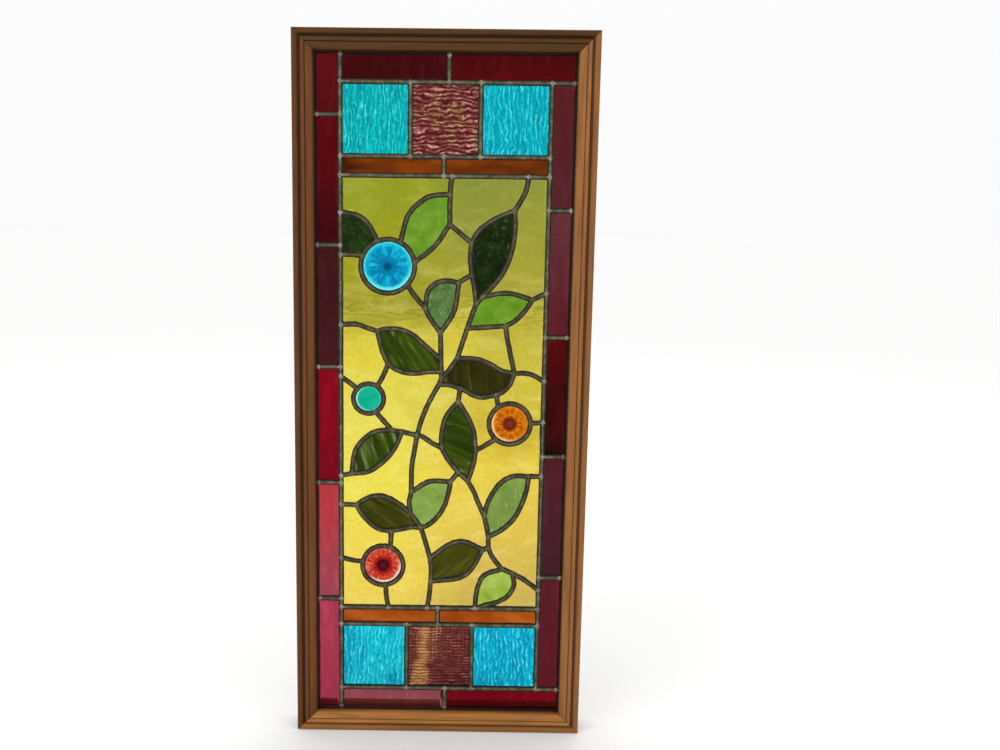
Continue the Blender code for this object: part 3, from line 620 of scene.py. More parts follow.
class Shape:
    """Corners and faces of a mesh, with a material number and a value between its edge and crest."""

    def __init__(self):
        self.corners = []
        self.values = []
        self.faces = []
        self.looks = []
        self.flat = []

    def corner(self, point, depth, value=0.0):
        """Adds a corner and gives its number."""
        self.corners.append(place(point, depth))
        self.values.append(value)
        return len(self.corners) - 1

    def face(self, corners, look=0, flat=False):
        """Adds a face."""
        self.faces.append(tuple(corners))
        self.looks.append(look)
        self.flat.append(flat)

    def wall(self, low, high, look=0, flat=False, closed=True):
        """Quads between two rows of corners."""
        quads = list(zip(in_turn(low), in_turn(high)))
        for (a, b), (c, d) in quads if closed else quads[:-1]:
            self.face((a, b, d, c), look, flat)

    def loft(self, rows, look=0, closed=True, capped=False):
        """Quads between each row of corners and the next, and a face over each end."""
        for low, high in zip(rows, rows[1:]):
            self.wall(low, high, look, closed=closed)
        if capped:
            self.face(rows[0], look, flat=True)
            self.face(reversed(rows[-1]), look, flat=True)

    def fan(self, ring, tip, look=0):
        """Triangles from a ring of corners to one more."""
        for a, b in in_turn(ring):
            self.face((a, b, tip), look)

    def piece(self, name, looks, slot, nodes=()):
        """The finished object, its faces turned outwards, riding on the model and standing for the nodes."""
        mesh = bpy.data.meshes.new(name)
        mesh.from_pydata(self.corners, [], self.faces)
        for look in looks:
            mesh.materials.append(look)
        mesh.polygons.foreach_set("material_index", self.looks)
        mesh.polygons.foreach_set("use_smooth", [not flat for flat in self.flat])
        crest = mesh.attributes.new("crest", "FLOAT", "POINT")
        crest.data.foreach_set("value", self.values)
        mesh.update()
        work = bmesh.new()
        work.from_mesh(mesh)
        bmesh.ops.recalc_face_normals(work, faces=work.faces)
        work.to_mesh(mesh)
        work.free()
        made = bpy.data.objects.new(name, mesh)
        bpy.context.scene.collection.objects.link(made)
        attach(made, "root")
        if nodes:
            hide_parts(*nodes)


def normals_along(line):
    """The direction across a line at each of its points."""
    ways = [after - before for before, after in zip([line[0], *line], [*line[1:], line[-1]])]
    return [Vector((-way.y, way.x)).normalized() for way in ways]


def sweep_came(shape, line, number, look):
    """One length of lead: a domed flange on each face and the heart between them."""
    rows = []
    for point, side in zip(line, normals_along(line)):
        width = HALF_CAME + wave(point, WIDTH_WAVE, number)
        crest = CAME_CREST + wave(point, CREST_WAVE, number + 3)
        domed = ((part, 1 - abs(part) ** DOME_POWER) for part in CREST_SHAPE)
        section = [(part, share(CAME_EDGE, crest, lift), 1 - abs(part)) for part, lift in domed]
        section.extend((part, UNDER_FLANGE, 0.0) for part in (FLANGE_FOLD, HALF_HEART / HALF_CAME))
        row = []
        for face in (-1, 1):
            for part, depth, value in section:
                spot = point - side * part * width * face
                row.append(shape.corner(spot, PANEL_MIDDLE + face * depth, value))
        rows.append(row)
    shape.loft(rows, look, capped=True)


def sweep_cement(shape, line, number):
    """The dark line of cement that shows beside a lead, on both faces of the glass."""
    for face in (-1, 1):
        rows = []
        for point, side in zip(line, normals_along(line)):
            row = []
            for part in (-1, 1):
                ragged = CEMENT * (CEMENT_SHARE + wave(point, CEMENT_WAVE, number + 11 * part + face))
                spot = point + side * part * (HALF_CAME + max(LEAST_CEMENT, ragged))
                row.append(shape.corner(spot, PANEL_MIDDLE + face * CEMENT_FACE))
            rows.append(row)
        shape.loft(rows, 1, closed=False)


def sweep_rim(shape):
    """The lead round the panel's edge, mitred at its corners."""
    high, shown = HALF_THICKNESS - RIM_DROP, -RIM_SHOWN
    slope = [(shown, RIM_BEVEL - high), (shown + RIM_BEVEL, -high)]
    front = [(shown, -GLASS_HALF), *slope, (RIM_HIDDEN, -high)]
    profile = front + [(out, -depth) for out, depth in reversed(front)]
    rows = [
        [shape.corner(corners_outside(out)[side], PANEL_MIDDLE + depth) for out, depth in profile]
        for side in range(4)
    ]
    for row, following in in_turn(rows):
        shape.wall(row, following, flat=True)


def joints(leads):
    """Where leads meet, the directions in which they leave, and the kind of the joint."""
    found = {}
    for line, kind in leads:
        for here, following in ((line[0], line[1]), (line[-1], line[-2])):
            found.setdefault(key(here), (here, []))[1].append((following - here, kind))
    for point, leaving in found.values():
        kinds = [kind for way, kind in leaving]
        if "rim" in kinds:
            for way in (way for way, kind in leaving if kind == "came"):
                inside_rim = point + way.normalized() * (RIM_HIDDEN + RIM_SHOWN + JOINT_CLEAR)
                yield inside_rim, [way, way * RIM_LOBE], "rim"
        elif len(leaving) > 2:
            yield point, [way for way, kind in leaving], "came" if "came" in kinds else "vine"


def solder_joint(shape, point, ways, kind, number):
    """A blob of solder over the place where leads meet, on both faces."""
    look = 1 if kind == "vine" else 0
    crest = RIM_JOINT_CREST if kind == "rim" else JOINT_CREST
    angles = [2 * math.pi * i / JOINT_SIDES for i in range(JOINT_SIDES)]
    for face in (-1, 1):
        reach = []
        for angle in angles:
            spot = Vector((*polar(angle), number * JOINT_SEEDS + face))
            out = JOINT_RADIUS + JOINT_RAGGED * noise.noise(spot)
            for way in ways:
                gap = abs((angle - math.atan2(way.y, way.x) + math.pi) % (2 * math.pi) - math.pi)
                lobe = JOINT_REACH * min(1.0, way.length / LEAD_STEP)
                lobe *= LOBE_SHARE + LOBE_RAGGED * noise.noise(Vector((number, way.x, way.y)))
                out = max(out, JOINT_RADIUS + (lobe - JOINT_RADIUS) * math.exp(-((gap / LOBE_WIDTH) ** 2)))
            reach.append(out)
        rows = []
        for part, lift in JOINT_RINGS:
            row = []
            for angle, out in zip(angles, reach):
                spot = point + polar(angle) * (out * part)
                depth = share(JOINT_EDGE, crest, lift) + wave(spot, SOLDER_WAVE, number) * lift
                row.append(shape.corner(spot, PANEL_MIDDLE + face * min(depth, crest), lift))
            rows.append(row)
        shape.loft(rows, look)
        shape.fan(rows[-1], shape.corner(point, PANEL_MIDDLE + face * crest, 1.0), look)
        shape.fan(rows[0], shape.corner(point, PANEL_MIDDLE + face * GLASS_HALF), look)


def off_edge(point, a, b):
    """How far a point lies from the stretch between two others."""
    along = b - a
    reach = (point - a).dot(along) / max(along.length_squared, TINY)
    return (point - a - along * max(0.0, min(1.0, reach))).length


def steps(low, high, spacing):
    """Values a spacing apart between two others."""
    value = low + spacing / 2
    while value < high:
        yield value
        value += spacing


def pane_shape(outline, spacing, relief):
    """A pane whose two faces carry the given relief, a function of a point and a face."""
    low, high = box_of(outline)
    edges = list(in_turn(outline))
    points = list(outline)
    for x in steps(low.x, high.x, spacing):
        for z in steps(low.y, high.y, spacing):
            spot = Vector((x, z))
            clear = min(off_edge(spot, a, b) for a, b in edges) > spacing * CLEAR_OF_EDGE
            if clear and inside(spot, outline):
                points.append(spot)
    loop = list(in_turn(list(range(len(outline)))))
    cut = geometry.delaunay_2d_cdt(points, loop, [], 1, SAME_POINT)
    spots, edge_pairs, triangles, origins, *rest = cut
    number_of = {origin: i for i, found in enumerate(origins) for origin in found}
    shape = Shape()
    rows = []
    for face in (-1, 1):
        depths = [PANEL_MIDDLE + face * (GLASS_HALF + relief(spot, face)) for spot in spots]
        row = [shape.corner(spot, depth) for spot, depth in zip(spots, depths)]
        rows.append(row)
        for triangle in triangles:
            shape.face([row[i] for i in triangle])
    front, back = ([row[number_of[i]] for i in range(len(outline))] for row in rows)
    shape.wall(front, back, flat=True)
    return shape


def sheet_relief(point, face):
    """The slight waviness of rolled glass."""
    return wave(point, SHEET_WAVE, face) + wave(point, SHEET_DIMPLES, face + 5)


def upright_ripple(point, face):
    """Upright ripples pressed into the front of the turquoise squares."""
    if face > 0:
        return sheet_relief(point, face)
    across = point.x + wave(point, UPRIGHT_BEND, 2)
    spot = Vector((across / UPRIGHT_WIDTH, UPRIGHT_SEED, point.y / UPRIGHT_LENGTH))
    return UPRIGHT_HEIGHT * noise.noise(spot)


def level_ripple(point, face):
    """Level wavy ripples pressed into the front of the brown squares."""
    if face > 0:
        return sheet_relief(point, face)
    up = point.y + wave(point, LEVEL_BEND, 6)
    height = LEVEL_HEIGHT * (LEVEL_SHARE + wave(point, LEVEL_FADE, 8))
    return height * math.sin(2 * math.pi * up / LEVEL_SPACING)


def relief_at(part):
    """The height of a rondel's relief at a share of its radius, smoothly joined."""
    for (low, a), (high, b) in zip(RONDEL_RELIEF, RONDEL_RELIEF[1:]):
        if part <= high:
            t = (part - low) / (high - low)
            return share(a, b, t * t * (3 - 2 * t))
    return 0.0


def rondel_shape(centre, radius, ribs):
    """A pressed rondel: flat behind, with a boss, a ring and radial ribs in front."""
    shape = Shape()
    angles = [2 * math.pi * i / SPOKES for i in range(SPOKES)]
    rows = []
    for ring in range(1, RONDEL_RINGS + 1):
        part = ring / RONDEL_RINGS
        rib = RIB_HEIGHT * max(0.0, 1 - abs(part - RIB_MIDDLE) / RIB_REACH) if ribs else 0.0
        row = []
        for angle in angles:
            lift = relief_at(part) * BOSS_HEIGHT + rib * math.cos(ribs * angle)
            row.append(shape.corner(centre + polar(angle, radius * part), PANEL_MIDDLE - GLASS_HALF - lift))
        rows.append(row)
    shape.fan(rows[0], shape.corner(centre, PANEL_MIDDLE - GLASS_HALF - BOSS_HEIGHT))
    shape.loft(rows)
    back = [shape.corner(centre + polar(angle, radius), PANEL_MIDDLE + GLASS_HALF) for angle in angles]
    shape.wall(rows[-1], back, flat=True)
    shape.face(back, flat=True)
    return shape


def quarter_round(out, face, radius, start, steps=6):
    """A quarter circle under a face, from its start in degrees, with its centre at a distance out."""
    for i in range(steps + 1):
        turn = polar(math.radians(start + 90 * i / steps), radius)
        yield (out + turn.x, face + radius + turn.y)


def frame_profile():
    """The frame's section: distance outwards from the sight line, and depth behind the front."""
    lip = LIP_FRONT - FRAME_FRONT
    groove = ((GROOVE + QUIRK_WIDTH * across, QUIRK_DEPTH * down) for across, down in GROOVE_SHAPE)
    return (
        *quarter_round(ARRIS, FRAME_DEPTH - 2 * ARRIS, ARRIS, 90, 2),
        (0, lip),
        (REBATE, lip),
        *quarter_round(REBATE + ARRIS, 0, ARRIS, 180, 2),
        *quarter_round(GROOVE - ARRIS, 0, ARRIS, 270, 2),
        *groove,
        *quarter_round(GROOVE_END + MOULDING_ROUND, 0, MOULDING_ROUND, 180),
        *quarter_round(FRAME_FACE - MOULDING_ROUND, 0, MOULDING_ROUND, 270),
        *quarter_round(FRAME_FACE - ARRIS, FRAME_DEPTH - 2 * ARRIS, ARRIS, 0, 2),
    )


def bead_profile():
    """The glazing bead's section, in the same terms as the frame's."""
    width = REBATE - FIT
    return (
        (0, BEAD_DEPTH),
        *quarter_round(BEAD_ROUND, 0, BEAD_ROUND, 180),
        *quarter_round(width - EDGE_ROUND, 0, EDGE_ROUND, 270),
        (width, BEAD_DEPTH),
    )


def mitred_bar(profile, side, outer_darkening=0.0):
    """One mitred bar of the frame or the beads: 0 is the foot, 1 the right, 2 the head and 3 the left."""
    shape = Shape()
    middle = sum((Vector(point) for point in profile), Vector((0, 0))) / len(profile)
    inner = [(i / BAR_STEPS, MITRE_GAP + MITRE_DIP, 0.0) for i in range(BAR_STEPS + 1)]
    rows = []
    for part, short, dip in ((0.0, MITRE_GAP, MITRE_DIP), *inner, (1.0, MITRE_GAP, MITRE_DIP)):
        row = []
        for point in profile:
            out, depth = Vector(point) + (middle - Vector(point)).normalized() * dip
            corners = corners_outside(out)
            near, far = corners[side], corners[(side + 1) % 4]
            along = (far - near).normalized()
            in_front = depth < QUIRK_DEPTH + MOULDING_ROUND
            # How much the wood is darkened: the outer half of the front by the member's amount
            darkening = outer_darkening if in_front and out > GROOVE_END else 0.0
            # Painted shade, at full strength, in the groove and in the V-groove of each mitre
            if dip or depth > QUIRK_DEPTH / 2 and GROOVE < out < GROOVE_END:
                darkening = 1.0
            spot = (near + along * short).lerp(far - along * short, part)
            row.append(shape.corner(spot, FRAME_FRONT + depth, darkening))
        rows.append(row)
    shape.loft(rows, capped=True)
    return shape


# Materials


def tone(colour, factor=1.0):
    """A shader's colour from one as seen on a screen, 0 to 255, made darker or lighter by a factor."""
    parts = [value / 255 for value in colour]
    linear = [part / 12.92 if part <= 0.04045 else ((part + 0.055) / 1.055) ** 2.4 for part in parts]
    return (*(min(1.0, part * factor) for part in linear), 1.0)


def paint(colour):
    """A shader's colour from a grey, from one as seen on a screen or from one that is ready."""
    if isinstance(colour, float):
        return (colour, colour, colour, 1.0)
    return tone(colour) if len(colour) == 3 else colour


class Look:
    """A material whose nodes are added in short calls."""

    def __init__(self, name, roughness=0.5, metallic=0.0, transmission=0.0, ior=1.5):
        self.material = bpy.data.materials.new(name)
        self.material.use_nodes = True
        self.tree = self.material.node_tree
        self.shader = self.tree.nodes["Principled BSDF"]
        self.set("Roughness", roughness)
        self.set("Metallic", metallic)
        self.set("Transmission Weight", transmission)
        self.set("IOR", ior)

    def set(self, name, value):
        """Links or sets one of the shader's own inputs."""
        self.put(self.shader.inputs[name], value)

    def put(self, socket, value):
        """Links or sets an input."""
        if isinstance(value, bpy.types.NodeSocket):
            self.tree.links.new(value, socket)
        else:
            socket.default_value = paint(value) if socket.type == "RGBA" else value

    def add(self, kind, inputs, **settings):
        """Adds a node and sets it up."""
        node = self.tree.nodes.new("ShaderNode" + kind)
        for name, value in settings.items():
            setattr(node, name, value)
        for name, value in inputs.items():
            self.put(node.inputs[name], value)
        return node

    def coordinates(self, scale=(1, 1, 1), offset=(0, 0, 0), lean=0.0):
        """Places on the object in metres, leaned from upright first, then scaled and moved."""
        start = self.add("TexCoord", {}).outputs["Object"]
        if lean:
            start = self.add("Mapping", {"Vector": start, "Rotation": (0, lean, 0)}).outputs["Vector"]
        inputs = {"Vector": start, "Scale": scale, "Location": offset}
        return self.add("Mapping", inputs).outputs["Vector"]

    def places(self, **fit):
        """The three parts of the coordinates: across, depth and up."""
        return self.add("SeparateXYZ", {"Vector": self.coordinates(**fit)}).outputs

    def noise(self, size, detail=2.0, roughness=0.5, distortion=0.0, vector=None, **fit):
        """Noise, 0 to 1, over the object's coordinates or over a vector."""
        vector = self.coordinates(**fit) if vector is None else vector
        inputs = {"Vector": vector, "Scale": size, "Detail": detail, "Roughness": roughness}
        return self.add("TexNoise", {**inputs, "Distortion": distortion}).outputs["Fac"]

    def ramp(self, value, *stops):
        """A colour from a value, through stops of place and colour or grey."""
        node = self.add("ValToRGB", {"Fac": value})
        elements = node.color_ramp.elements
        while len(elements) < len(stops):
            elements.new(1.0)
        for element, (spot, colour) in zip(elements, stops):
            element.position = spot
            element.color = paint(colour)
        return node.outputs["Color"]

    def mix(self, part, first, second, blend="MIX"):
        """Two colours mixed."""
        node = self.add("Mix", {}, data_type="RGBA", blend_type=blend)
        for number, value in ((0, part), (6, first), (7, second)):
            self.put(node.inputs[number], value)
        return node.outputs[2]

    def dappled(self, colour, level):
        """A colour darkened or lightened by a level about 1."""
        return self.mix(1.0, colour, level, "MULTIPLY")

    def maths(self, operation, first, second=0.0, clamp=False):
        """Arithmetic on values."""
        return self.add("Math", {0: first, 1: second}, operation=operation, use_clamp=clamp).outputs[0]

    def plus(self, first, second):
        """The sum of two values."""
        return self.maths("ADD", first, second)

    def times(self, first, second):
        """The product of two values."""
        return self.maths("MULTIPLY", first, second)

    def off(self, first, second):
        """How far apart two values are."""
        return self.maths("ABSOLUTE", self.maths("SUBTRACT", first, second))

    def spread(self, value, low, high, to_low=0.0, to_high=1.0):
        """A value moved from one range to another, held at its ends."""
        inputs = {"Value": value, "From Min": low, "From Max": high, "To Min": to_low, "To Max": to_high}
        return self.add("MapRange", inputs).outputs[0]

    def swing(self, cloud, reach):
        """Noise turned into a drift both ways."""
        return self.spread(cloud, 0.3, 0.7, -reach, reach)

    def crest(self):
        """How far a point lies from the edge of its lead, or how much its wood is darkened."""
        return self.add("Attribute", {}, attribute_name="crest").outputs["Fac"]

    def done(self, colour, height, strength, distance):
        """Sets the colour and a bump, with its distance in metres, and gives the material."""
        bump = self.add("Bump", {"Height": height, "Strength": strength, "Distance": distance})
        self.set("Base Color", colour)
        self.set("Normal", bump.outputs["Normal"])
        return self.material


GLASS_IOR = 1.45
GLASS_TINT = 0.12


def glass(name, roughness):
    """A see-through material with a weak mirror, as glass lit from behind has."""
    look = Look(name, roughness, transmission=1.0, ior=GLASS_IOR)
    look.set("Specular Tint", GLASS_TINT)
    return look


def rolled(look, colour, scale=520, low=0.9, high=1.08):
    """The finished glass of a sheet: a colour made a little uneven by fine grain, and faint waves."""
    grain = look.noise(scale, 3, 0.6)
    level = look.ramp(look.spread(grain, 0.3, 0.7), (0.0, low), (1.0, high))
    return look.done(look.dappled(colour, level), look.noise(90), 0.35, 0.0004)


# The background: the heights in metres between which its colours lie, how far across its left turns into
# its right, and the colours of both from the foot up
YELLOW_FOOT = 0.16
YELLOW_HEAD = 0.70
YELLOW_TURN = 0.05
LEMON = (
    (0.0, (236, 208, 86)), (0.14, (234, 210, 80)), (0.30, (230, 216, 78)), (0.46, (224, 212, 90)),
    (0.60, (224, 208, 66)), (0.66, (204, 190, 60)), (0.70, (180, 172, 54)), (0.80, (158, 160, 24)),
    (1.0, (152, 160, 38)),
)
GOLD = (
    (0.0, (202, 174, 84)), (0.16, (218, 190, 82)), (0.33, (224, 197, 68)), (0.43, (198, 174, 52)),
    (0.52, (204, 188, 64)), (0.60, (202, 187, 66)), (0.70, (178, 171, 56)), (1.0, (136, 146, 58)),
)


def yellow_glass():
    """Pale yellow glass, greener at the top, golden at the foot, with watery streaks between."""
    look = glass("Yellow_Glass", 0.08)
    across, depth, up = look.places()
    drift = look.noise(14)
    part = look.spread(look.plus(up, look.swing(drift, 0.025)), YELLOW_FOOT, YELLOW_HEAD)
    sideways = look.plus(across, look.swing(drift, 0.04))
    rightness = look.spread(sideways, -YELLOW_TURN, YELLOW_TURN)
    body = look.mix(rightness, look.ramp(part, *LEMON), look.ramp(part, *GOLD))
    water = look.noise(20, 4, 0.62, 1.4, scale=(1, 1, 4.5))
    streak = look.ramp(water, (0.40, 0.0), (0.49, 1.0), (0.55, 0.0), (0.62, 0.0), (0.70, 0.8))
    band = look.ramp(up, (0.50, 0.0), (0.53, 0.8), (0.55, 0.5), (0.59, 0.0))
    shaded = look.mix(look.times(streak, band), body, (136, 132, 34))
    glow = look.ramp(look.noise(26, 3, 0.5, 0.6, scale=(1, 1, 2.4)), (0.50, 0.0), (0.72, 0.45))
    bright = look.times(glow, look.spread(up, 0.52, 0.66, 1.0, 0.4))
    lit = look.mix(bright, shaded, look.mix(0.5, body, (255, 246, 150)))
    seeds = look.noise(330, 3, 0.6, scale=(1, 1, 0.7))
    dimples = look.ramp(seeds, (0.30, 0.88), (0.44, 0.98), (0.56, 1.02), (0.70, 1.08))
    return look.done(look.dappled(lit, dimples), seeds, 0.2, 0.0005)


# The glass of each rondel: name, radius, colours from the centre outwards, number of rays, what the rays are
# (colour, amount and reach), and the tone and direction of a painted highlight on one stretch of the rim
RONDEL_GLASS = {
    "Rondel_Blue": (
        "Blue_Rondel_Glass", 30,
        (
            (0.0, (0, 72, 98)), (0.13, (0, 84, 116)), (0.2, (0, 128, 172)), (0.36, (0, 138, 186)),
            (0.6, (0, 152, 194)), (0.84, (0, 172, 208)), (0.92, (60, 216, 230)), (0.97, (150, 246, 246)),
            (1.0, (0, 120, 140)),
        ),
        22, (((26, 206, 232), 0.95, 0.44, 0.96), ((0, 106, 168), 0.7, 0.16, 0.74)), (120, 250, 246), -80,
    ),
    "Rondel_Teal": (
        "Teal_Rondel_Glass", 16,
        (
            (0.0, (0, 164, 130)), (0.6, (0, 168, 134)), (0.82, (10, 174, 142)), (0.92, (80, 200, 172)),
            (1.0, (20, 120, 98)),
        ),
        5, (((36, 194, 156), 0.4, 0.1, 0.7),), (170, 232, 212), 190,
    ),
    "Rondel_Orange": (
        "Orange_Rondel_Glass", 23,
        (
            (0.0, (124, 56, 36)), (0.2, (104, 34, 10)), (0.32, (112, 36, 4)), (0.42, (190, 92, 0)),
            (0.48, (226, 128, 4)), (0.58, (206, 106, 0)), (0.66, (172, 82, 0)), (0.86, (190, 96, 0)),
            (0.95, (214, 126, 16)), (1.0, (140, 68, 0)),
        ),
        30, (((140, 56, 0), 0.8, 0.40, 0.66), ((232, 146, 20), 0.6, 0.62, 0.92)), (250, 206, 130), 215,
    ),
    "Rondel_Red": (
        "Scarlet_Rondel_Glass", 23,
        (
            (0.0, (108, 20, 50)), (0.12, (82, 2, 18)), (0.29, (56, 0, 8)), (0.40, (166, 20, 14)),
            (0.58, (210, 50, 28)), (0.8, (218, 68, 44)), (0.92, (222, 92, 68)), (1.0, (140, 40, 30)),
        ),
        50, (((238, 134, 108), 0.75, 0.60, 0.94), ((132, 2, 10), 0.85, 0.40, 0.88)), (255, 226, 200), -58,
    ),
}


def rondel_glass(centre, name, radius, stops, rays, streaks, rim_highlight, highlight_degrees):
    """Glass coloured by the distance from a rondel's centre, with rays and a painted highlight on one stretch
    of its rim.
    """
    look = glass(name, 0.05)
    x, depth, z = place(centre)
    across, along, up = look.places(offset=(-x, 0, -z))
    distance = look.maths("SQRT", look.plus(look.times(across, across), look.times(up, up)))
    cloud = look.noise(240, 3)
    part = look.plus(look.maths("DIVIDE", distance, radius * MM), look.swing(cloud, 0.03))
    colour = look.ramp(part, *stops)
    angle = look.maths("ARCTAN2", up, across)
    turned = look.add("CombineXYZ", {"X": look.maths("COSINE", angle), "Y": look.maths("SINE", angle)})
    ray = look.add("VectorMath", {0: turned.outputs[0], "Scale": rays / 6}, operation="SCALE").outputs[0]
    for number, (shade, amount, low, high) in enumerate(streaks):
        start = {"X": RAY_SEEDS * number, "Z": look.times(part, rays / 12)}
        outward = look.add("CombineXYZ", start).outputs[0]
        moved = look.add("VectorMath", {0: ray, 1: outward}, operation="ADD").outputs[0]
        mask = look.times(look.spread(look.noise(1.0, 2, 0.55, vector=moved), 0.44, 0.62), amount)
        ends = ((max(0.0, low - 0.08), 0.0), (low, 1.0), (high, 1.0), (min(1.0, high + 0.08), 0.0))
        colour = look.mix(look.times(mask, look.ramp(part, *ends)), colour, shade)
    # Painted highlight on the stretch of the rim that faces the given direction
    turned_by = look.maths("COSINE", look.maths("SUBTRACT", angle, math.radians(highlight_degrees)))
    rim = look.ramp(part, (0.80, 0.0), (0.90, 0.9), (0.97, 0.9), (1.0, 0.0))
    colour = look.mix(look.times(rim, look.spread(turned_by, 0.1, 0.8)), colour, rim_highlight)
    return look.done(colour, cloud, 0.25, 0.0004)


def rippled(look, along, spacing, slow_reach, quick_reach, stretch):
    """Ripples across one direction, 0 to 1, that wander by the given reaches in metres."""
    slow = look.times(look.noise(60, 2, 0.5, 0.6, scale=stretch), slow_reach)
    quick = look.times(look.noise(210, scale=stretch), quick_reach)
    turn = look.times(look.plus(along, look.plus(slow, quick)), 2 * math.pi / spacing)
    return look.spread(look.maths("SINE", turn), -1.0, 1.0)


def upright_rippled_glass(name, trough, left, right, crest):
    """Turquoise glass with thin upright ripples that wander and break off, painted shade in their troughs and
    painted highlights on their crests, and small bright seeds.
    """
    look = glass(name, 0.08)
    across, depth, up = look.places()
    ripple = rippled(look, across, 0.0054, 0.020, 0.0075, (1, 1, 0.5))
    body = look.mix(look.spread(across, -0.03, 0.03), left, right)
    cloud = look.noise(70, 3, 0.55, scale=(1, 1, 0.3))
    base = look.mix(look.ramp(cloud, (0.36, 0.9), (0.52, 0.0)), body, trough)
    # Painted shade in the troughs of the ripples
    shaded = look.mix(look.ramp(ripple, (0.05, 0.7), (0.5, 0.0)), base, trough)
    # Painted highlights along the crests of the ripples, broken off here and there
    broken = look.spread(look.noise(190, scale=(1, 1, 0.5)), 0.42, 0.58, 0.12, 1.0)
    strength = look.times(look.ramp(ripple, (0.70, 0.0), (0.97, 0.9)), broken)
    seeds = look.ramp(look.noise(480, 1), (0.62, 0.0), (0.74, 0.6))
    return look.done(look.mix(look.maths("MAXIMUM", strength, seeds), shaded, crest), ripple, 0.45, 0.0006)


# In metres: the pale column in the foot's brown square, and the heights at which it widens and ends
BROWN_COLUMN = -0.020
COLUMN_FOOT = 0.054
COLUMN_WAIST = 0.105
COLUMN_HEAD = 0.138


def level_rippled_glass(name, spacing, wander, trough, body, crest, patch, column=None):
    """Brown glass with close level ripples, painted shade in their troughs and painted highlights on their
    crests, and patches or an upright column of a lighter brown.
    """
    look = glass(name, 0.08)
    across, depth, up = look.places()
    ripple = rippled(look, up, spacing, wander, wander / 3, (0.8, 1, 1))
    clouds = look.noise(40, 3, 0.6, 0.6, scale=(1.4, 1, 0.8), offset=(0.4, 0, 0.1))
    if column is None:
        deepest = 0.9
        patched = look.mix(look.ramp(clouds, (0.48, 0.0), (0.60, 0.9)), body, patch)
    else:
        deepest = 0.85
        leaned = look.plus(across, look.spread(up, COLUMN_FOOT, COLUMN_HEAD, 0.006, -0.004))
        bowed = look.plus(leaned, look.swing(clouds, 0.006))
        low_down = look.spread(up, COLUMN_FOOT, COLUMN_WAIST, 0.95, 0.1)
        shade = look.times(low_down, look.spread(bowed, column + 0.010, column + 0.024))
        darker = look.mix(shade, body, trough)
        beside = look.spread(look.off(bowed, column + 0.014), 0.002, 0.007, 0.5, 0.0)
        twice = look.mix(look.times(beside, look.spread(up, 0.085, 0.1)), darker, patch)
        # Upright ripples over the upper part of the square, with painted shade in their troughs
        upright = rippled(look, across, 0.0046, 0.012, 0.004, (1, 1, 0.5))
        crossed = look.times(look.ramp(upright, (0.1, 0.75), (0.6, 0.0)), look.spread(up, 0.07, 0.1))
        woven = look.mix(crossed, twice, trough)
        widened = look.spread(up, COLUMN_FOOT, COLUMN_WAIST, -0.008, 0.0)
        wide = look.plus(look.off(bowed, column), widened)
        patched = look.mix(look.spread(wide, 0.001, 0.009, 1.0, 0.0), woven, patch)
    # Painted shade in the troughs of the level ripples
    base = look.mix(look.ramp(ripple, (0.15, deepest), (0.6, 0.0)), patched, trough)
    # Painted highlights along the crests of the level ripples, broken off here and there
    broken = look.spread(look.noise(150, scale=(0.6, 1, 1)), 0.42, 0.6)
    strength = look.times(look.ramp(ripple, (0.74, 0.0), (0.96, 0.9)), broken)
    return look.done(look.mix(strength, base, crest), ripple, 0.4, 0.0006)


def red_glass(name, foot, head, outline):
    """Red glass that changes from the foot of its pane to the head, with soft wisps of painted reflection."""
    look = glass(name, 0.05)
    low, high = (place(corner)[2] for corner in box_of(outline))
    # Painted reflection: a lighter, slightly greyed tone laid over the glass in wisps
    reflection_veil = (*(share(a, b, 0.5) * 1.6 + 0.006 for a, b in zip(tone(foot)[:3], tone(head)[:3])), 1.0)
    cloud = look.noise(30, 3, 0.55, 0.5, scale=(1, 1, 0.5))
    part = look.maths("ADD", look.spread(look.places()[2], low, high), look.swing(cloud, 0.3), clamp=True)
    wisps = look.noise(75, 3, 0.6, 1.0, scale=(1, 1, 0.25))
    mask = look.ramp(wisps, (0.52, 0.0), (0.68, 0.5))
    return rolled(look, look.mix(mask, look.mix(part, foot, head), reflection_veil), 380, 0.88, 1.12)


# How far across, in metres, the dark left end of an amber strip fades
AMBER_END = -0.118
AMBER_CLEAR = -0.092


def amber_glass(name, deep, middle, pale, end_shade):
    """Amber glass, clouded along its strip and darker at its left end."""
    look = glass(name, 0.07)
    cloud = look.noise(45, 3, 0.55, 0.5, scale=(0.5, 1, 1))
    body = look.ramp(cloud, (0.32, deep), (0.5, middle), (0.7, pale))
    drifted = look.plus(look.places()[0], look.swing(cloud, 0.012))
    left_end = look.spread(drifted, AMBER_END, AMBER_CLEAR, end_shade, 0.0)
    return rolled(look, look.mix(left_end, body, tone(deep, 0.3)))


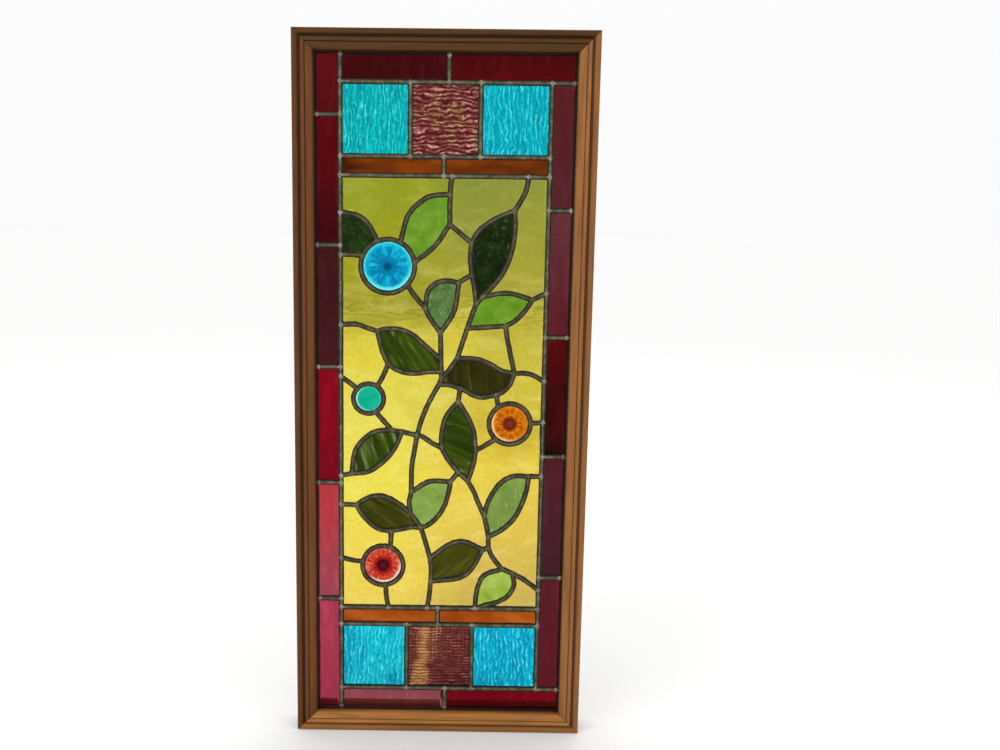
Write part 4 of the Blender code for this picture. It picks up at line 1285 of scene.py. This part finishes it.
# The glass of the leaves: slot, its deep, middle and pale tones, how its clouds are stretched, and its flecks
# as tone, amount, size and stretch
LEAF_GLASS = {
    "dark_green": (
        "dark_green", (20, 36, 6), (32, 52, 12), (48, 72, 22), (1, 1, 1),
        ((120, 150, 96), 0.60, 330, (1, 1, 0.6)),
    ),
    "bright_green": (
        "bright_green", (98, 146, 28), (112, 160, 38), (132, 176, 60), (1, 1, 1),
        ((150, 190, 90), 0.62, 200, (1, 1, 0.4)),
    ),
    "grey_green": (
        "grey_green", (66, 98, 42), (84, 120, 58), (108, 142, 80), (1, 1, 1),
        ((128, 162, 104), 0.56, 260, (1, 1, 0.6)),
    ),
    "pale_green": (
        "grey_green", (116, 146, 62), (130, 160, 72), (142, 172, 86), (1, 1, 1),
        ((156, 188, 104), 0.58, 240, (1, 1, 0.5)),
    ),
    "streaky_green": (
        "streaky_green", (28, 46, 2), (48, 66, 2), (72, 90, 10), (2.6, 1, 0.25),
        ((120, 138, 86), 0.58, 130, (1, 1, 0.14)),
    ),
    "olive": (
        "olive", (34, 31, 0), (46, 44, 2), (64, 60, 10), (1.6, 1, 0.4),
        ((90, 88, 34), 0.60, 110, (1, 1, 0.10)),
    ),
    "warm_olive": (
        "olive", (48, 48, 2), (60, 60, 6), (74, 73, 16), (1.4, 1, 0.6),
        ((110, 108, 46), 0.60, 110, (1, 1, 0.12)),
    ),
    "lime": ("lime", (146, 180, 54), (164, 194, 72), (186, 212, 104), (1, 1, 1), None),
}


def leaf_glass(name, tones, cloud_stretch, flecks, level, lean, scarce):
    """The glass of one leaf, clouded and flecked along its lean."""
    look = glass(name, 0.07)
    cloud = look.noise(48, 3, 0.55, 0.4, scale=cloud_stretch, lean=lean)
    body = look.ramp(cloud, *zip((0.3, 0.5, 0.7), (tone(shade, level) for shade in tones)))
    if flecks:
        fleck, amount, size, stretch = flecks
        spots = look.noise(size, 2, 0.6, scale=stretch, lean=lean)
        body = look.mix(look.ramp(spots, (amount + scarce, 0.0), (amount + scarce + 0.08, 0.8)), body, fleck)
    return rolled(look, body)


def wood(name, level, body):
    """Varnished oak of one tone, with its grain along X or Z, painted shade in the groove and the mitres, and
    a darker outer half.
    """
    look = Look(name, ior=1.45)
    look.set("Specular IOR Level", 0.25)

    def streaks(stretch, *tuned):
        return look.noise(*tuned, scale=(stretch, 1, 1) if level else (1, 1, stretch))

    rings = streaks(0.05, 260, 4, 0.6, 0.5)
    fibre = streaks(0.02, 1300, 2, 0.6)
    patches = look.spread(streaks(0.3, 22, 3), 0.35, 0.7, 0.0, 0.45)
    grain = look.ramp(rings, (0.30, tone(body, 0.66)), (0.48, body), (0.70, tone(body, 1.28)))
    soft = look.mix(patches, grain, tone(body, 0.8))
    pored = look.mix(look.ramp(fibre, (0.36, 0.4), (0.46, 0.0)), soft, tone(body, 0.4))
    look.set("Roughness", look.spread(rings, 0.3, 0.7, 0.36, 0.52))
    # Darkened by the crest value: painted shade in the groove and the mitres, and the darker outer half of
    # the front
    darkened_wood = look.mix(look.times(look.crest(), 0.8), pored, tone(body, 0.16))
    return look.done(darkened_wood, look.mix(0.5, rings, fibre), 0.16, 0.0004)


def metal(name, metallic, edge_shade_reach, edge_shade_tone, low, middle, high):
    """Lead or solder: painted shade along its edges where it meets the glass, unevenly dulled on its crest.
    """
    look = Look(name, metallic=metallic)
    cloud = look.noise(150, 4, 0.62)
    fine = look.noise(800, 3, 0.6)
    body = look.ramp(cloud, (0.32, low), (0.5, middle), (0.72, high))
    # Painted shade: darker towards the edges of the lead and of the solder, where they meet the glass
    edge = look.spread(look.plus(look.crest(), look.swing(fine, 0.12)), 0.0, edge_shade_reach, 1.0, 0.0)
    look.set("Roughness", look.spread(cloud, 0.3, 0.7, 0.36, 0.6))
    return look.done(look.mix(edge, body, edge_shade_tone), look.mix(0.5, cloud, fine), 0.4, 0.0006)


def cement():
    """Dark glazing cement beside the leads."""
    look = Look("Cement")
    cloud = look.noise(400, 3, 0.6)
    look.set("Roughness", look.spread(cloud, 0.3, 0.7, 0.75, 0.95))
    return look.done(look.ramp(cloud, (0.3, (18, 16, 10)), (0.7, (48, 42, 28))), cloud, 0.5, 0.0005)


# The lead


leads = all_leads()
lattice = Shape()
for number, (line, kind) in enumerate(leads):
    if kind != "rim":
        sweep_came(lattice, line, number, 2 if kind == "vine" else 0)
        sweep_cement(lattice, line, number)
sweep_rim(lattice)
lead_looks = [
    metal("Lead_Border", 0.55, 0.85, (18, 17, 12), (60, 57, 42), (88, 84, 62), (132, 128, 100)),
    cement(),
    metal("Lead_Vine", 0.5, 0.95, (9, 8, 5), (50, 44, 28), (80, 72, 50), (122, 113, 84)),
]
lattice.piece("Lead_Lattice", lead_looks, "lead", ["Lead_Cames"])

blobs = Shape()
for number, (point, ways, kind) in enumerate(joints(leads)):
    solder_joint(blobs, point, ways, kind, number)
solder_looks = [
    metal("Solder_Border", 0.75, 0.7, (56, 54, 42), (92, 90, 76), (124, 122, 106), (178, 177, 164)),
    metal("Solder_Vine", 0.6, 0.7, (36, 32, 21), (60, 54, 38), (86, 78, 58), (128, 119, 94)),
]
blobs.piece("Solder_Joints", solder_looks, "lead")

# The glass
INSETS = {"came": HALF_HEART + FIT, "vine": HALF_HEART + FIT, "rim": RIM_HIDDEN - GLASS_HIDDEN}
outlines = [inset(pane, INSETS) for pane in trace_panes(leads)]


def take(point):
    """The outline round a point, taken off the list."""
    outline = next(loop for loop in outlines if inside(Vector(point), loop))
    outlines.remove(outline)
    return outline


for name, (point, kind, *character) in LEAVES.items():
    slot, deep, middle, pale, stretch, flecks = LEAF_GLASS[kind]
    look = leaf_glass(f"{name}_Glass", (deep, middle, pale), stretch, flecks, *character)
    pane_shape(take(point), SHEET_SPACING, sheet_relief).piece(f"Glass_{name}", [look], slot, [name])

for name, (slot, centre, diameter, ribs, meetings) in RONDELS.items():
    take(centre)
    shape = rondel_shape(Vector(centre), diameter / 2 - HALF_HEART - FIT, ribs)
    shape.piece(f"Glass_{name}", [rondel_glass(centre, *RONDEL_GLASS[name])], slot, [name])

# By row: its turquoise, brown and amber glass, and where its squares and its amber strip begin
ROW_GLASS = {
    "Top": (
        upright_rippled_glass(
            "Turquoise_Glass_Top", (0, 144, 160), (0, 182, 182), (0, 178, 200), (100, 238, 238)
        ),
        level_rippled_glass(
            "Brown_Glass_Top", 0.0058, 0.018, (64, 10, 20), (126, 54, 52), (240, 186, 172), (152, 112, 56)
        ),
        amber_glass("Amber_Glass_Top", (92, 30, 0), (112, 50, 0), (150, 66, 2), 0.75),
    ),
    "Bottom": (
        upright_rippled_glass(
            "Turquoise_Glass_Foot", (0, 146, 188), (10, 202, 218), (0, 184, 224), (116, 244, 250)
        ),
        level_rippled_glass(
            "Brown_Glass_Foot", 0.0038, 0.008, (72, 20, 28), (128, 62, 52), (206, 142, 112), (216, 158, 92),
            BROWN_COLUMN,
        ),
        amber_glass("Amber_Glass_Foot", (146, 62, 4), (166, 76, 12), (196, 102, 34), 0.15),
    ),
}
ROW_FEET = {"Top": (ROW_OVER_AMBER, FIELD_HEIGHT), "Bottom": (ROW_UNDER_SQUARES, ROW_UNDER_AMBER)}
for row, (turquoise, brown, amber) in ROW_GLASS.items():
    kinds = (turquoise, "turquoise", upright_ripple), (brown, "brown", level_ripple)
    for i, label in enumerate(("Left", "Centre", "Right")):
        look, slot, relief = kinds[i % 2]
        outline = take((FIELD_WIDTH * (i + 0.5) / 3, ROW_FEET[row][0] + SQUARE_ROW / 2))
        node = f"{row}_Square_{label}"
        pane_shape(outline, RIPPLE_SPACING, relief).piece(f"Glass_{node}", [look], slot, [node])
for row, (turquoise, brown, amber) in ROW_GLASS.items():
    for i, label in enumerate(("Left", "Right")):
        outline = take((FIELD_WIDTH * (i + 0.5) / 2, ROW_FEET[row][1] + AMBER_ROW / 2))
        name = f"Glass_{row}_Amber_{label}"
        pane_shape(outline, SHEET_SPACING, sheet_relief).piece(name, [amber], "amber", [f"{row}_Amber_Strip"])

# Tones of each red pane at its foot and its head: upwards at the sides, from the left in the rows
REDS = {
    "Left": (
        ((166, 52, 78), (162, 54, 78)), ((150, 66, 82), (176, 52, 60)), ((112, 0, 18), (132, 0, 22)),
        ((66, 20, 26), (62, 16, 20)), ((62, 0, 6), (92, 0, 8)), ((84, 4, 10), (96, 6, 14)),
    ),
    "Right": (
        ((98, 20, 36), (86, 24, 36)), ((64, 26, 36), (76, 24, 32)), ((5, 0, 0), (86, 0, 2)),
        ((92, 26, 36), (96, 46, 54)), ((84, 34, 40), (88, 26, 32)),
    ),
    "Top": (((58, 0, 3), (64, 0, 3)), ((86, 0, 3), (66, 0, 2))),
    "Bottom": (((164, 92, 104), (154, 72, 86)), ((136, 0, 24), (120, 0, 20))),
}


def border_side(outline):
    """The side of the border that a pane lies on, or None."""
    middle = middle_of(outline)
    if middle.x < 0:
        return "Left"
    if middle.y > ROW_OVER_SQUARES:
        return "Top"
    if middle.y < ROW_UNDER_SQUARES:
        return "Bottom"
    return "Right" if middle.x > FIELD_WIDTH else None


for side, shades in REDS.items():
    part = 1 if side in ("Left", "Right") else 0
    found = [loop for loop in outlines if border_side(loop) == side]
    found.sort(key=lambda loop: middle_of(loop)[part])
    for number, (outline, (foot, head)) in enumerate(zip(found, shades), 1):
        look = red_glass(f"Red_Glass_{side}_{number}", foot, head, outline)
        shape = pane_shape(outline, RED_SPACING, sheet_relief)
        shape.piece(f"Glass_{side}_Red_{number}", [look], "red", ["Red_Border"])

yellow = yellow_glass()
nodes_left = [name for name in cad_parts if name.startswith("Background_")]
for outline in outlines:
    if border_side(outline) is None:
        low, high = (Vector(place(corner)) for corner in box_of(outline))

        def gap(name):
            """How far a node's box lies from the pane's."""
            box_low, box_high = (Vector(corner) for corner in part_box(name))
            return (box_low.xz - low.xz).length + (box_high.xz - high.xz).length

        node = min(nodes_left, key=gap)
        nodes_left.remove(node)
        pane_shape(outline, SHEET_SPACING, sheet_relief).piece(f"Glass_{node}", [yellow], "yellow", [node])

# The frame: name, name of the bead, tone, and how much darker the outer half of its front is, for each
# member;
# the tones are lit and shaded copies of one oak: painted light on the foot and the right, painted shade on
# the head and the left
MEMBERS = (
    ("Bottom_Rail", "Bottom_Bead", (166, 110, 50), 0.45),
    ("Right_Stile", "Right_Bead", (150, 98, 50), 0.22),
    ("Head_Rail", "Top_Bead", (80, 48, 4), 0.1),
    ("Left_Stile", "Left_Bead", (104, 60, 20), 0.3),
)
for side, (member, bead, body, darkening) in enumerate(MEMBERS):
    look = wood("Oak_" + member.split("_")[0], side % 2 == 0, body)
    mitred_bar(frame_profile(), side, darkening).piece(f"Frame_{member}", [look], "oak", [member])
    mitred_bar(bead_profile(), side).piece(f"Glazing_{bead}", [look], "oak", [bead])

# Floor, light and camera: each lamp has its place, its target, its size and its power
HALF_FLOOR = 15.0
FLOOR_COLOUR = (0.93, 0.93, 0.925, 1.0)
LAMPS = {
    "Key": ((-1.3, -1.6, 1.9), (0, 0, 0.45), (1.2, 1.2), 8),
    "Fill": ((0.3, 1.9, 1.9), (0, 0.25, 0), (1.6, 1.2), 6),
}
CAMERA_PLACE = (0.0035, -1.3142, 0.6764)
CAMERA_TURN = (80.38, -0.669, 0.479)
LENS = 39.6
SENSOR_WIDTH = 36.0
SHIFT_ACROSS = 0.062
HORIZON_LIGHT = 0.96
OVERHEAD_LIGHT = 1.08


def stand(name, data):
    """An object in the scene that rides on nothing."""
    made = bpy.data.objects.new(name, data)
    bpy.context.scene.collection.objects.link(made)
    return made


def softbox(name, spot, target, size, power):
    """A large soft lamp aimed at a point."""
    data = bpy.data.lights.new(name, "AREA")
    data.shape = "RECTANGLE"
    data.size, data.size_y = size
    data.energy = power
    lamp = stand(name, data)
    lamp.location = spot
    lamp.rotation_euler = (Vector(target) - Vector(spot)).to_track_quat("-Z", "Y").to_euler()


floor_mesh = bpy.data.meshes.new("Floor")
floor_corners = [(x * HALF_FLOOR, y * HALF_FLOOR, 0) for x, y in ((-1, -1), (1, -1), (1, 1), (-1, 1))]
floor_mesh.from_pydata(floor_corners, [], [(0, 1, 2, 3)])
floor = stand("Floor", floor_mesh)
floor_look = Look("Floor_Paint", roughness=0.9)
floor_look.set("Base Color", FLOOR_COLOUR)
floor_mesh.materials.append(floor_look.material)
floor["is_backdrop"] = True

for name, lamp in LAMPS.items():
    softbox(name, *lamp)

world = bpy.data.worlds.new("Studio")
bpy.context.scene.world = world
world.use_nodes = True
nodes, links = world.node_tree.nodes, world.node_tree.links
height_of = nodes.new("ShaderNodeSeparateXYZ")
strength = nodes.new("ShaderNodeMapRange")
strength.inputs["To Min"].default_value = HORIZON_LIGHT
strength.inputs["To Max"].default_value = OVERHEAD_LIGHT
nodes["Background"].inputs["Color"].default_value = (1.0, 1.0, 1.0, 1.0)
links.new(nodes.new("ShaderNodeTexCoord").outputs["Generated"], height_of.inputs["Vector"])
links.new(height_of.outputs["Z"], strength.inputs["Value"])
links.new(strength.outputs["Result"], nodes["Background"].inputs["Strength"])

camera = stand("Camera", bpy.data.cameras.new("Camera"))
camera.data.lens = LENS
camera.data.sensor_width = SENSOR_WIDTH
camera.data.shift_x = SHIFT_ACROSS
camera.location = CAMERA_PLACE
camera.rotation_euler = Euler([math.radians(angle) for angle in CAMERA_TURN], "XYZ")
bpy.context.scene.camera = camera
bpy.context.scene.view_settings.view_transform = "Standard"

visual_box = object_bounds()
[[list(corner) for corner in box] for box in (CAD_BOX, visual_box)]
